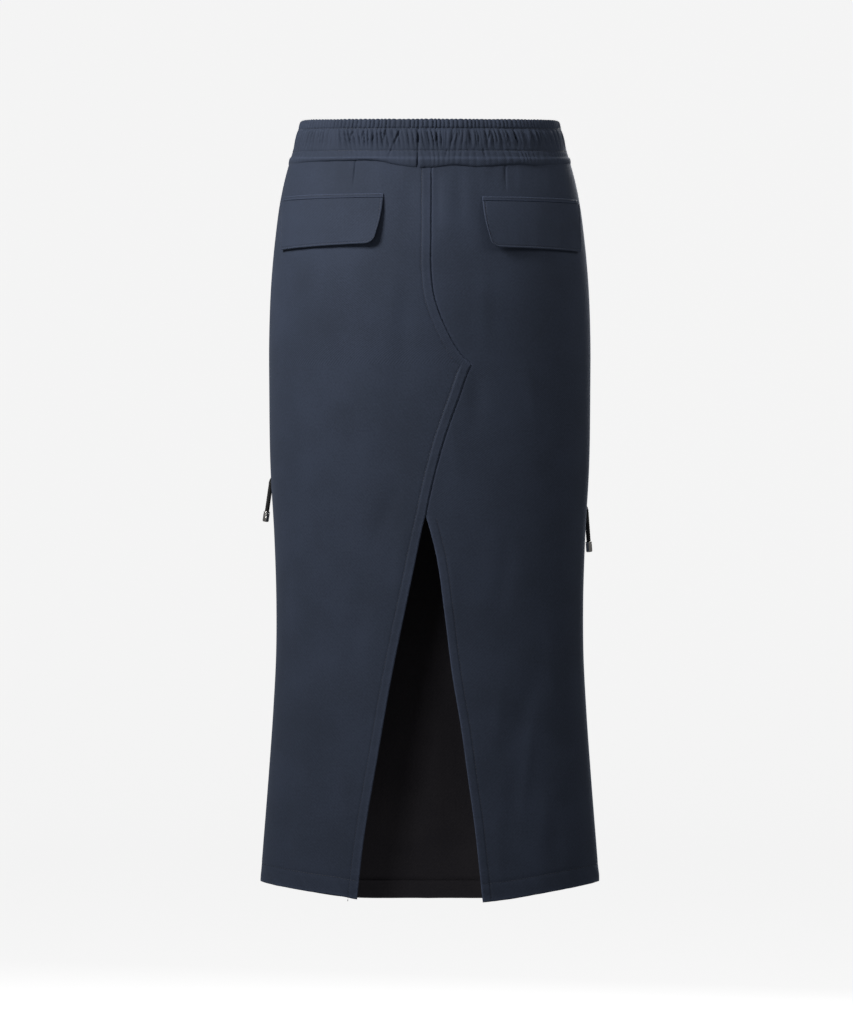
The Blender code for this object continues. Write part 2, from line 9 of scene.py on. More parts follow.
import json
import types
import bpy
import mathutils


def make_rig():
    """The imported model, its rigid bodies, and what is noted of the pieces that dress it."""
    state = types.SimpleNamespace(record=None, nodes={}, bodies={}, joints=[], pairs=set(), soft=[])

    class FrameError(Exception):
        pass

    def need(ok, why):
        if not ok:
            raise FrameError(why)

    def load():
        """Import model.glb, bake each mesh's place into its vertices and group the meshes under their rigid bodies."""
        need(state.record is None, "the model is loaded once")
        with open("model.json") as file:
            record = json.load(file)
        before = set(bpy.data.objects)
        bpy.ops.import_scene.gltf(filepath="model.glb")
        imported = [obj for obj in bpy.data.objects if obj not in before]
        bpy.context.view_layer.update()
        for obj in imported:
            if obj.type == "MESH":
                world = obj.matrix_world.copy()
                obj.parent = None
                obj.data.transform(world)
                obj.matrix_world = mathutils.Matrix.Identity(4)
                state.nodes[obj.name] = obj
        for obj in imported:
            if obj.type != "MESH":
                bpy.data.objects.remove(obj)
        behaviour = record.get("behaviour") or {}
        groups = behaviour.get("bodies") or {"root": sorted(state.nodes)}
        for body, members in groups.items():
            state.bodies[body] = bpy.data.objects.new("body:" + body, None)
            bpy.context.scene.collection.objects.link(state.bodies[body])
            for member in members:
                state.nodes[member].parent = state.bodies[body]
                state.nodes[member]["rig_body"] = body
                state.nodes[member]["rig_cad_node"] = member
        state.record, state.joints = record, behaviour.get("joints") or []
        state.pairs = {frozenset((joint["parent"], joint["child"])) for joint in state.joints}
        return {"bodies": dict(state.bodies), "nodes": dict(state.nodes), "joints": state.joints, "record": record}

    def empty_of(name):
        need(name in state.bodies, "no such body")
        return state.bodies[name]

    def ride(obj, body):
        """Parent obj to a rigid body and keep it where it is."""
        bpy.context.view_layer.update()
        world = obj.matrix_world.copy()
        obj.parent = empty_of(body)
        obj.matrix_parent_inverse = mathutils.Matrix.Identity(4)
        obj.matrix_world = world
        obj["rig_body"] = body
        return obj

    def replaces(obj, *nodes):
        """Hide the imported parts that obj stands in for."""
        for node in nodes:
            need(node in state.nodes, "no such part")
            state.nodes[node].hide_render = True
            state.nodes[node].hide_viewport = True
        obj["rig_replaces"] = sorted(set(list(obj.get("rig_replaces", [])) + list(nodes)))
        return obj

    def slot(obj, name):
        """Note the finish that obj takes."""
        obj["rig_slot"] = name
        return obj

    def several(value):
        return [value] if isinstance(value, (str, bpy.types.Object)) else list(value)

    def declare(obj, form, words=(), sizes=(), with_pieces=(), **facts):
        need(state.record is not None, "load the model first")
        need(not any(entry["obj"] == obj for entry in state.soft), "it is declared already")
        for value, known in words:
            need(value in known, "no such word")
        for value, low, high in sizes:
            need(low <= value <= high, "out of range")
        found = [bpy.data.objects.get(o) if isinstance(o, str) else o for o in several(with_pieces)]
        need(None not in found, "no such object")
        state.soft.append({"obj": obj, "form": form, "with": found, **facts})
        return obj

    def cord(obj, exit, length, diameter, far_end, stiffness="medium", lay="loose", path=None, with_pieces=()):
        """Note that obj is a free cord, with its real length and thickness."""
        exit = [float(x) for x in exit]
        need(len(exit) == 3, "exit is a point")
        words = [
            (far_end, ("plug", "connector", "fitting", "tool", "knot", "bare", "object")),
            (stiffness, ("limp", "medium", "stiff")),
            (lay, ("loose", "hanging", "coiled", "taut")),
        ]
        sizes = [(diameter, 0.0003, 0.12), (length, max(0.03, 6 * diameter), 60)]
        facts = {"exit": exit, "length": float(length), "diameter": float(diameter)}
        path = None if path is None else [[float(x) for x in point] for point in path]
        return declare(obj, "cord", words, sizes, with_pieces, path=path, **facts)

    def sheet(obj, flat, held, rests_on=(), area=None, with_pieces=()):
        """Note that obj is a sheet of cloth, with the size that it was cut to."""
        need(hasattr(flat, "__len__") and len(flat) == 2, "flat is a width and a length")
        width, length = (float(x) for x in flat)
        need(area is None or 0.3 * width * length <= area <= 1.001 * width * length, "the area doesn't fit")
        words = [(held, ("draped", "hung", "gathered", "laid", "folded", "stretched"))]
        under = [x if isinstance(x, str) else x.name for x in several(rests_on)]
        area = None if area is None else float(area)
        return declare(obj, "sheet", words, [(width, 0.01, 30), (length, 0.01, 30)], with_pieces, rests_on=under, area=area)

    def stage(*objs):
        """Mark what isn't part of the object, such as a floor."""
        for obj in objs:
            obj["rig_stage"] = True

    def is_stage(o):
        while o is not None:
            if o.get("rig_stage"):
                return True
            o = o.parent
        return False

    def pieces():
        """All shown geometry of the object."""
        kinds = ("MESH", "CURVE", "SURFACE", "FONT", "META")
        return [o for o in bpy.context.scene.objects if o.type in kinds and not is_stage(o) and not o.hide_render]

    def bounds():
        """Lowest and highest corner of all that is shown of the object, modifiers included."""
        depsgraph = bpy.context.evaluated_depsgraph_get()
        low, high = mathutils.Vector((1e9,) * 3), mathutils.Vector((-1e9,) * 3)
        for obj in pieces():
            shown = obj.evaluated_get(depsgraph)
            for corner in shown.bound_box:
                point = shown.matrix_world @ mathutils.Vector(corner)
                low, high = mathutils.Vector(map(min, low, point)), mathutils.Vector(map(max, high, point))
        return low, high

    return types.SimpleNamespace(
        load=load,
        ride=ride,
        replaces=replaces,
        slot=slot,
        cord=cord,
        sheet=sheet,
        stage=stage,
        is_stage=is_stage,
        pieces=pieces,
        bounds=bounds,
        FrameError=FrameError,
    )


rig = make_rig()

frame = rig.load()
CAD_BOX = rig.bounds()

import json
import logging
import math
from dataclasses import dataclass, field
from enum import Enum
from typing import Any, Iterable, Sequence

import bmesh
import bpy
import numpy as np
from mathutils import Matrix, Vector

log = logging.getLogger("skirt")

WAIST_TOP_Z = 0.024
CLOTH_THICKNESS = 0.0016
TURNED_CLOTH = 0.0026
SEAM_GAP = 0.0004
SIDE_SEAM_GAP = 0.00006
SEAM_LAP = 0.0006
SEAM_EASE = 0.02
SIDE_SEAM = 91.0
HEM_TURN_UP = 0.020
TURN_STEP = 0.0015
LAP_RISE = 0.0009
PANEL_TOP_DROP = 0.0455
LAP_START_DROP = 0.0610
SEAM_POINT_DROP = 0.2724
SLIT_TOP_DROP = 0.4339
PANEL_FOOT = 0.855
TURN_UP_DROP = PANEL_FOOT - HEM_TURN_UP
HEM_REACH = 0.20
HEM_OFFSETS = (0.0060, 0.0042, 0.0028, 0.0018, 0.0012, 0.0007, 0.0003, 0.0)
SIDE_OFFSETS = np.array((0.0, 0.0004, 0.0009, 0.0016, 0.0026, 0.0040))
SETTLING_PASSES = 4
EDGE_TURN = 0.0112
GROOVE_DEPTH = 0.00030
GROOVE_WIDTH = 0.0010
ROPING = 0.00024
ROPING_SLANT = 0.6
SIDE_SINK = 0.0006
SIDE_SINK_REACH = 0.0013
WEAR_REACH = 0.0016
SEAM_WEAR = 0.6
FAR = 1.0
WAIST_DIP = 0.0073
BAND_MIDDLE = 0.020
POCKET_LENGTH = 0.14
POCKET_CLEARANCE = 0.0006
WAVE_PERIOD = math.tau / 20  # a Wave texture's bands at scale 1
BODY = "root"
MERGE_DISTANCE = 0.000002
Array = np.ndarray
# Sine waves: each one's count a turn, its phase and its height.
Waves = tuple[tuple[float, float, float], ...]


class Side(Enum):
    """The two sides of the skirt, as seen from behind."""

    LEFT = "left"
    RIGHT = "right"

    @property
    def hand(self) -> int:
        """-1 on the left and 1 on the right."""
        return -1 if self is Side.LEFT else 1


class Face(Enum):
    """The half of the skirt that a fold or pleat lies on."""

    BACK = "back"
    FRONT = "front"


@dataclass(frozen=True)
class Section:
    """One level of the form: its half width, and its depth behind and in front of the middle."""

    drop: float
    half_width: float
    back_depth: float
    front_depth: float


@dataclass(frozen=True)
class Level:
    """The height of a line that runs round the skirt, at one angle."""

    angle: float
    drop: float


@dataclass(frozen=True)
class EdgePoint:
    """One point of a back panel's inner edge."""

    drop: float
    aside: float


@dataclass(frozen=True)
class Fold:
    """A soft fold along a line; a positive height stands out, and bow bends the line sideways."""

    aside: float
    drop: float
    to_aside: float
    to_drop: float
    width: float
    height: float
    bow: float = 0.0


@dataclass(frozen=True)
class Pleat:
    """A deep gather of the waistband, between two places below the band's top edge."""

    aside: float
    to_aside: float
    top: float
    foot: float
    width: float
    depth: float


@dataclass(frozen=True)
class BandRow:
    """How far the waistband stands out at one height, and how deep its gathers are there."""

    below_top: float
    rise: float
    gather: float


def in_mm(kind: type, rows: Iterable[Sequence[float]]) -> list[Any]:
    """The rows of a table whose sizes are written in millimetres."""
    return [kind(*(size / 1000 for size in row)) for row in rows]


SECTIONS = in_mm(Section, (
    (0, 144, 98, 93), (45, 155.5, 105, 97), (64, 160.6, 108.5, 99), (85, 165.1, 113, 101),
    (130, 171.3, 119, 104.5), (180, 175.8, 121.8, 106.6), (240, 178, 120.2, 107),
    (300, 177.9, 116.5, 106), (380, 176.7, 111, 103), (460, 172.3, 106.5, 100.3),
    (530, 170.1, 103, 98.3), (590, 170.4, 100.7, 96.8), (650, 173.4, 99.5, 95.5), (720, 178.3, 98, 94),
    (800, 184.6, 96, 92.5), (870, 190.2, 94, 91),
))
HEM = [Level(angle, drop / 1000) for angle, drop in (
    (-180, 868), (-150, 865.5), (-130, 856), (-110, 846.2), (-90, 841.5), (-63, 843.2), (-44, 847.6),
    (-32, 851), (-25, 854.4), (-12, 856), (0, 857), (18, 857.3), (26, 855), (40, 849.5), (56, 844.6),
    (90, 841.5), (110, 846.2), (130, 856), (150, 865.5), (180, 868),
)]
WAIST_SEAM = [Level(angle, drop / 1000) for angle, drop in (
    (-180, 47), (-120, 47), (-80, 48.2), (-60, 48.7), (-38, 49.7), (-20, 51.5), (-14, 55.1),
    (-5, 58.6), (2, 58.4), (10, 56.1), (19, 57.8), (29, 55.5), (38, 53.9), (47, 54.1), (56, 52.2),
    (80, 47.4), (120, 47), (180, 47),
)]
CENTRE_SEAM = in_mm(EdgePoint, (
    (40, 1), (134, 0.5), (171, 0.5), (199, 3.9), (219.5, 10.4), (236, 17.8), (254.8, 28.1),
    (266, 36.5), (272.4, 44),
))
RETURN_SEAM = in_mm(EdgePoint, (
    (272.4, 44), (282.7, 39.3), (306.8, 31), (332.6, 21.6), (357.1, 13.5), (387.8, 5.1), (420.3, -2.3),
    (433.9, -4.9),
))
SLIT_LEFT = in_mm(EdgePoint, (
    (433.9, -4.9), (516.9, -22), (608.3, -40.8), (699.8, -56.9), (791.5, -72.2), (860, -79.9),
))
SLIT_RIGHT = in_mm(EdgePoint, (
    (433.9, -4.9), (476.7, 6.1), (543.8, 15.9), (611, 24.4), (665.9, 33.6), (720.9, 41.2), (776, 48.8),
    (825.1, 54.1), (860, 57.7),
))
FOLDS = {
    Face.BACK: in_mm(Fold, (
        (-151, 490, -138, 610, 9, 1.1), (-138, 590, -118, 760, 9, 1.1),
        (-128, 640, -108, 820, 11, -1.2), (-30, 390, -66, 480, 10, -1.1),
        (-66, 460, -90, 640, 11, -1.1), (-28, 190, -29, 320, 10, -0.9), (-22, 66, -24, 130, 10, -0.9),
        (19, 62, 19, 145, 10, 1.2), (43, 62, 45, 130, 9, 1), (52, 270, 50, 350, 9, -1.1),
        (121, 590, 84, 710, 12, -1.1), (150, 690, 112, 830, 13, 1.1), (92, 700, 90, 800, 10, -1),
    )),
    Face.FRONT: in_mm(Fold, (
        (0, 560, 4, 860, 13, -1.6), (-40, 600, -56, 850, 14, -1.3), (58, 590, 72, 850, 15, -1.4),
        (-120, 300, -104, 440, 12, -1.1), (118, 250, 102, 400, 12, -1.1), (-34, 62, -36, 150, 10, 1.1),
        (40, 62, 41, 140, 10, 1.1),
    )),
}
CREASES = {
    Face.BACK: in_mm(Fold, (
        (-128, 32, -131, 86, 4, 0.38, 2), (-112, 34, -113, 78, 3.5, -0.32),
        (-99, 34, -100, 92, 4.2, 0.42, -2), (-66, 36, -68, 90, 4, -0.36, 1),
        (-52, 38, -54, 98, 4.5, 0.45), (-37, 38, -38, 84, 3.6, -0.34),
        (-11, 40, -13, 108, 4.8, 0.4, 1), (8, 42, 9, 132, 4.5, -0.5), (31, 40, 32, 118, 5, -0.6, 1),
        (58, 40, 59, 92, 4, 0.42), (70, 40, 71, 83, 3.4, -0.32), (96, 36, 98, 90, 4.2, 0.4, 1),
        (111, 34, 114, 80, 3.8, -0.34), (126, 34, 130, 92, 4.5, 0.38, 2),
        (-40, 150, -46, 250, 8.5, 0.76, 3), (60, 160, 62, 260, 8, 0.76, -3),
        (-116, 230, -96, 310, 8, -0.85, 4), (-140, 300, -128, 420, 9, 0.76, 3),
        (-74, 300, -62, 400, 8.5, 0.76, -3), (104, 260, 122, 350, 8, 0.85, -3),
        (20, 330, 36, 410, 6, 0.68), (16, 450, 28, 560, 6, 0.68, 2), (86, 440, 70, 560, 9.5, -0.85, 4),
        (128, 540, 138, 650, 8, 0.85), (-24, 436, -40, 530, 5.5, 0.68, -2),
        (-100, 690, -94, 850, 7.5, 0.85, 3), (-152, 700, -160, 850, 8, -1.02),
        (80, 600, 70, 700, 7, 0.68), (134, 720, 146, 840, 8.5, -0.94, -3),
        (-143, 560, -127, 700, 4.6, 0.7, 2), (-131, 650, -119, 800, 5, -0.7, -2),
        (112, 640, 98, 770, 5.5, 0.6, 2), (72, 760, 78, 850, 6.5, 0.76),
    )),
    Face.FRONT: in_mm(Fold, (
        (-130, 34, -132, 90, 4.2, -0.36), (-112, 34, -115, 82, 3.8, 0.4, 1),
        (-90, 34, -92, 102, 4.5, -0.45), (-72, 34, -73, 80, 3.6, 0.34), (-50, 34, -52, 94, 4.2, -0.4),
        (-18, 34, -19, 88, 4, 0.42, 1), (0, 34, 1, 110, 4.6, -0.48), (22, 34, 23, 84, 3.8, 0.36),
        (56, 34, 58, 96, 4.4, -0.42, 2), (76, 34, 78, 80, 3.6, 0.36), (98, 34, 101, 94, 4.2, -0.4),
        (122, 34, 126, 86, 4, 0.38), (-60, 180, -48, 280, 8.5, 0.76, 3),
        (66, 170, 52, 290, 9, 0.76, -3), (-20, 300, -10, 420, 9, -0.85, 3),
        (86, 420, 70, 560, 9.5, 0.85, 4), (-92, 450, -78, 590, 9.5, -0.85, -4),
        (-110, 620, -128, 780, 10, 1.5, 4), (116, 610, 134, 790, 10, 1.5, -4),
        (30, 600, 36, 860, 8, 1.9, 2), (-18, 560, -22, 860, 7.5, 2.1, -2),
        (6, 580, 9, 860, 7, -1.8, 2), (-48, 660, -55, 860, 7.5, -1.6, 1),
    )),
}
DARTS = {
    Side.LEFT: Fold(-0.0804, 0.0400, -0.0835, 0.0790, 0.0010, -0.0013),
    Side.RIGHT: Fold(0.0816, 0.0420, 0.0830, 0.0850, 0.0010, -0.0013),
}
BAND_ROWS = in_mm(BandRow, (
    (0, -0.2, 1.1), (1, 0.2, 1.5), (4, 0.4, 1.6), (7, 0.1, 1.2), (8, -0.3, 0.8), (9, 0, 1.4),
    (12, 0.3, 3), (16.5, 0.4, 3.4), (22, 0.4, 3), (25, 0.4, 2.1), (29, 0.3, 1.5), (31.5, 0.1, 1.1),
    (32.5, -0.1, 0.7), (33.5, 0.3, 1.1), (37, 0.7, 1.5), (40, 1.3, 1.2),
))
PLEATS = {
    Face.BACK: in_mm(Pleat, (
        (-47.8, -48.2, 8, 25.5, 1.1, 2), (-31.9, -37.8, 8, 26, 1.2, 2.1), (-38.5, -43, 25, 40, 1, 0.9),
        (-60, -60.8, 9, 24, 1, 1.2), (-71.7, -72.2, 9.5, 23.5, 0.9, 1.1),
        (-82.3, -85.6, 8.5, 24.5, 1, 1.3), (-107.6, -108.2, 10, 22.5, 0.9, 0.9),
        (9.2, 5.9, 8, 25, 1.1, 1.9), (28, 23.6, 9.5, 22, 1, 1.6), (32.5, 32.2, 8, 18, 0.9, 1.1),
        (42.5, 42.5, 7.5, 26, 1.1, 2.1), (52.4, 52.1, 13, 24, 0.9, 1.1),
        (65.7, 61.3, 8.5, 24.5, 1, 1.4), (70.2, 72.3, 8, 25.5, 1.1, 2), (83.4, 83.2, 13, 24.5, 1, 1.4),
        (91.2, 93.4, 8.5, 25, 1.1, 1.8), (108.8, 110, 9, 23.5, 0.9, 1.2),
        (119.2, 120, 8.5, 25, 1, 1.7), (126.2, 128.4, 9, 25, 1, 1.5), (18, 16.8, 30, 40, 1, 0.9),
        (56, 57, 30, 39.5, 1, 0.9), (-11, -14, 11, 26, 1, 0.9),
    )),
    Face.FRONT: in_mm(Pleat, (
        (-126, -124, 8.5, 24.5, 1, 1.3), (-109, -111.5, 8, 25, 1.1, 1.8), (-96, -95, 11, 23, 0.9, 1.1),
        (-80, -83.5, 8, 25.5, 1.1, 1.9), (-63, -62.5, 9, 24, 1, 1.3), (-51, -48, 8.5, 25, 1, 1.6),
        (-33, -34.5, 8, 26, 1.1, 2), (-15, -13, 10, 23, 0.9, 1.1), (4, 2, 8, 25.5, 1.1, 1.8),
        (21, 23.5, 8.5, 24.5, 1, 1.4), (37, 36.5, 8, 26, 1.1, 2), (52, 55.5, 10, 24, 1, 1.2),
        (69, 67, 8.5, 25, 1, 1.7), (86, 88, 8, 25, 1.1, 1.9), (101, 100.5, 11, 23, 0.9, 1.1),
        (118, 120.5, 8.5, 24.5, 1, 1.5),
    )),
}


def smooth(x: Any, at: Array, values: Array) -> Array:
    """A smooth curve through a row of values, held level beyond its ends.

    Args:
        x: Where the curve is read.
        at: Where the values stand, in rising order.
        values: The values, as numbers or as points.

    Returns:
        The curve's values at x.
    """
    slope = np.gradient(values, at, axis=0)
    x = np.clip(x, at[0], at[-1])
    i = np.clip(np.searchsorted(at, x, side="right") - 1, 0, len(at) - 2)
    span = at[i + 1] - at[i]
    t = (x - at[i]) / span
    if values.ndim > 1:
        span, t = span[..., None], t[..., None]
    bend = span * t * (1 - t) * (slope[i] * (1 - t) - slope[i + 1] * t)
    return values[i] + (values[i + 1] - values[i]) * (t * t * (3 - 2 * t)) + bend


class SmoothLine:
    """A smooth curve through one column of a table, read against another column."""

    def __init__(self, rows: Sequence[Any], key: str, value: str) -> None:
        """Reads the two columns.

        Args:
            rows: The table's rows, in rising order of the key.
            key: The column that is looked up.
            value: The column that is read.
        """
        self.at = np.array([getattr(row, key) for row in rows], float)
        self.height = np.array([getattr(row, value) for row in rows], float)

    def __call__(self, x: Any) -> Array:
        """The curve's values at x."""
        return smooth(x, self.at, self.height)


def distances(points: Array) -> Array:
    """How far along a line of points each one lies."""
    return np.concatenate([[0], np.cumsum(np.linalg.norm(np.diff(points, axis=0), axis=1))])


def bell(x: Array) -> Array:
    """A smooth bump of height 1 at 0, which has nearly gone at 2."""
    return np.exp(-(x**2))


def eased(x: Any) -> Array:
    """A smooth step from 0 to 1 as x goes from 0 to 1."""
    x = np.clip(x, 0.0, 1.0)
    return x * x * (3 - 2 * x)


def fold_rise(folds: Iterable[Fold], aside: Array, drop: Array) -> Array:
    """How far the folds move the cloth out.

    Args:
        folds: The folds that are added up.
        aside: Distances from the middle.
        drop: Drops below the waistband's top edge, of the same shape.

    Returns:
        The rise at each place.
    """
    total = np.zeros(np.broadcast(aside, drop).shape)
    for fold in folds:
        along_x, along_y = fold.to_aside - fold.aside, fold.to_drop - fold.drop
        length = math.hypot(along_x, along_y)
        away_x, away_y = aside - fold.aside, drop - fold.drop
        share = np.clip((away_x * along_x + away_y * along_y) / length**2, 0, 1)
        swell = np.sin(np.pi * share)
        across = (away_x * along_y - away_y * along_x) / length - fold.bow * swell
        total += fold.height * swell * bell(across / fold.width)
    return total


def edge_round(distance: Array, radius: float) -> Array:
    """How far a rounded edge has sunk at this distance from the edge."""
    inside = radius - np.minimum(distance, radius)
    return radius - np.sqrt(np.maximum(radius**2 - inside**2, 0))


def sines(x: Array, parts: Waves) -> Array:
    """A sum of sine waves, each given as its count a turn, its phase and its height."""
    return sum(height * np.sin(math.tau * count * x + phase) for count, phase, height in parts)


class SkirtForm:
    """The smooth form that every piece of cloth lies on."""

    def __init__(self) -> None:
        """Reads the tables of the form."""
        self.half_width = SmoothLine(SECTIONS, "drop", "half_width")
        self.back_depth = SmoothLine(SECTIONS, "drop", "back_depth")
        self.front_depth = SmoothLine(SECTIONS, "drop", "front_depth")
        self.hem_line = SmoothLine(HEM, "angle", "drop")
        self.waist_seam = SmoothLine(WAIST_SEAM, "angle", "drop")

    def outward(self, angle: Any, drop: Any) -> Array:
        """The level directions square to the form.

        Args:
            angle: Angles round the skirt.
            drop: Drops below the waistband's top edge.

        Returns:
            Directions of length 1, along a last axis of three.
        """
        turned = np.radians(angle)
        depth = np.where(np.cos(turned) > 0, self.back_depth(drop), self.front_depth(drop))
        x, y = np.sin(turned) / self.half_width(drop), -np.cos(turned) / depth
        return np.stack([x, y, np.zeros_like(x)], axis=-1) / np.hypot(x, y)[..., None]

    def aside(self, angle: Any, drop: Any) -> Array:
        """Distances from the middle."""
        return self.half_width(drop) * np.sin(np.radians(angle))

    def angle_at(self, aside: Any, drop: Any) -> Array:
        """The angles on the back that lie this far aside."""
        return np.degrees(np.arcsin(np.clip(aside / self.half_width(drop), -1, 1)))

    def point(self, angle: Any, drop: Any, rise: Any = 0.0) -> Array:
        """Points of the skirt's outer face, or ones that lie further out.

        Args:
            angle: Angles round the skirt.
            drop: Drops below the waistband's top edge.
            rise: How much further out the points lie.

        Returns:
            The points, along a last axis of three.
        """
        angle, drop, rise = np.broadcast_arrays(np.asarray(angle, float), drop, rise)
        turned = np.radians(angle)
        at_back = np.cos(turned) > 0
        depth = np.where(at_back, self.back_depth(drop), self.front_depth(drop))
        aside = self.aside(angle, drop)
        folds = np.where(
            at_back, fold_rise(FOLDS[Face.BACK], aside, drop), fold_rise(FOLDS[Face.FRONT], aside, drop)
        )
        place = np.stack([aside, -depth * np.cos(turned), WAIST_TOP_Z - drop], axis=-1)
        return place + self.outward(angle, drop) * (rise + folds)[..., None]

    def waist_top(self, angle: Any) -> Array:
        """The waistband's top edge dips a little at the middle of the back."""
        return WAIST_DIP * np.maximum(0.0, np.cos(np.radians(angle)))

    def hung_drop(self, drop: Any, angle: Any) -> Array:
        """Row heights where the rows near the hem follow its own line.

        Args:
            drop: The rows' drops before that.
            angle: Angles round the skirt.

        Returns:
            The drops.
        """
        start = PANEL_FOOT - HEM_REACH
        share = eased((drop - start) / (TURN_UP_DROP - TURN_STEP - start))
        return drop + (self.hem(angle) - PANEL_FOOT) * share

    def hem(self, angle: Any) -> Array:
        """The drops of the hem's own line, at any angles."""
        return self.hem_line((np.asarray(angle) + 180) % 360 - 180)


FORM = SkirtForm()


def linear(colour: str) -> tuple[float, float, float, float]:
    """A linear colour from an sRGB hex value such as #2a3040."""
    parts = [int(colour[i : i + 2], 16) / 255 for i in (1, 3, 5)]
    return (*[c / 12.92 if c <= 0.04045 else ((c + 0.055) / 1.055) ** 2.4 for c in parts], 1.0)


def fill(tree: bpy.types.NodeTree, node: bpy.types.Node, inputs: dict[Any, Any]) -> None:
    """Sets a node's inputs.

    Args:
        tree: The material's node tree.
        node: The node.
        inputs: Input names or numbers, each with a value or with the output socket that feeds it.
    """
    for key, value in inputs.items():
        if isinstance(value, bpy.types.NodeSocket):
            tree.links.new(value, node.inputs[key])
        else:
            node.inputs[key].default_value = value


def add_node(
    tree: bpy.types.NodeTree, kind: str, inputs: dict[Any, Any] | None = None, **settings: Any
) -> bpy.types.Node:
    """Adds a node with its settings and links.

    Args:
        tree: The material's node tree.
        kind: The node's type, without its first word ShaderNode.
        inputs: The node's inputs, as fill takes them.
        settings: The node's own properties.

    Returns:
        The node.
    """
    made = tree.nodes.new("ShaderNode" + kind)
    for name, value in settings.items():
        setattr(made, name, value)
    fill(tree, made, inputs or {})
    return made


def bare_material(name: str) -> tuple[bpy.types.Material, bpy.types.NodeTree, bpy.types.Node]:
    """A new material with its node tree and its Principled shader.

    Args:
        name: The material's name.

    Returns:
        The material, the tree and the shader.
    """
    made = bpy.data.materials.new(name)
    made.use_nodes = True
    return made, made.node_tree, made.node_tree.nodes["Principled BSDF"]


@dataclass(frozen=True)
class TwillFinish:
    """Wool-blend twill, piece-dyed and pressed.

    Fine diagonal ribs under a faint fuzz: dull straight on, a little lighter at grazing angles,
    and paler along the folds where the dye has rubbed. On the waistband's rolled ridge the paler
    colour is partly rubbing and partly a painted highlight.
    """

    name: str
    colour: str
    light_colour: str
    worn_colour: str
    roughness: float = 0.82
    sheen: float = 0.32
    sheen_colour: str = "#8f9bb0"
    # A real rib is 0.5 mm, too fine to show, so it is drawn at 1.5 mm.
    rib_pitch: float = 0.0015
    rib_turn: float = 63.0
    fibre_grain: float = 0.0024
    patch_size: float = 0.055
    relief: float = 0.00010

    def make(self) -> bpy.types.Material:
        """Makes the material, which reads the UV map in metres and the attribute wear.

        Returns:
            The material.
        """
        made, tree, shader = bare_material(self.name)
        cloth = add_node(tree, "TexCoord").outputs
        turn = (0, 0, math.radians(self.rib_turn))
        ribs = add_node(tree, "Mapping", {"Vector": cloth["UV"], "Rotation": turn})
        bands = {"Scale": WAVE_PERIOD / self.rib_pitch, "Distortion": 1.1, "Detail": 2.0, "Detail Scale": 1.6}
        twill = add_node(tree, "TexWave", {"Vector": ribs.outputs[0], **bands})
        grain = {"Vector": cloth["UV"], "Scale": 1 / self.fibre_grain, "Detail": 3.0}
        fibre = add_node(tree, "TexNoise", grain).outputs["Fac"]
        blotch = {"Vector": cloth["Object"], "Scale": 1 / self.patch_size, "Detail": 4.0}
        patch = add_node(tree, "TexNoise", blotch).outputs["Fac"]
        summed = {0: twill.outputs["Fac"], 1: 0.55, 2: fibre}
        height = add_node(tree, "Math", summed, operation="MULTIPLY_ADD").outputs[0]
        tone = add_node(tree, "Math", {0: patch, 1: 1.1, 2: height}, operation="MULTIPLY_ADD")
        spread = add_node(tree, "MapRange", {"Value": tone.outputs[0], "From Min": 1.02, "From Max": 1.66})
        dyed = {0: spread.outputs[0], 6: linear(self.colour), 7: linear(self.light_colour)}
        body = add_node(tree, "Mix", dyed, data_type="RGBA")
        # The attribute wear pales the cloth towards its worn colour: rubbing, and on the waistband's rolled ridge also
        # a painted highlight.
        wear = add_node(tree, "Attribute", attribute_name="wear")
        rubbed = add_node(tree, "Math", {0: wear.outputs["Fac"], 1: fibre}, operation="MULTIPLY")
        paled = {0: rubbed.outputs[0], 6: body.outputs[2], 7: linear(self.worn_colour)}
        worn = add_node(tree, "Mix", paled, data_type="RGBA")
        bump = add_node(tree, "Bump", {"Height": height, "Distance": self.relief, "Strength": 0.9})
        fill(tree, shader, {
            "Base Color": worn.outputs[2], "Normal": bump.outputs[0], "Roughness": self.roughness,
            "Specular IOR Level": 0.25, "Sheen Weight": self.sheen, "Sheen Roughness": 0.45,
            "Sheen Tint": linear(self.sheen_colour),
        })
        return made


@dataclass(frozen=True)
class ThreadFinish:
    """Spun polyester sewing thread, about as dark as the cloth, with a soft lustre."""

    name: str = "spun polyester thread"
    colour: str = "#2b313e"
    roughness: float = 0.5
    # The two plies turn every 0.6 mm.
    ply_pitch: float = 0.0006

    def make(self) -> bpy.types.Material:
        """Makes the material, which reads Object coordinates.

        Returns:
            The material.
        """
        made, tree, shader = bare_material(self.name)
        place = add_node(tree, "TexCoord").outputs["Object"]
        ply = add_node(tree, "TexNoise", {"Vector": place, "Scale": 1 / self.ply_pitch, "Detail": 1.0})
        bump = add_node(tree, "Bump", {"Height": ply.outputs["Fac"], "Distance": 0.00005})
        fill(tree, shader, {
            "Normal": bump.outputs[0], "Base Color": linear(self.colour), "Roughness": self.roughness,
        })
        return made


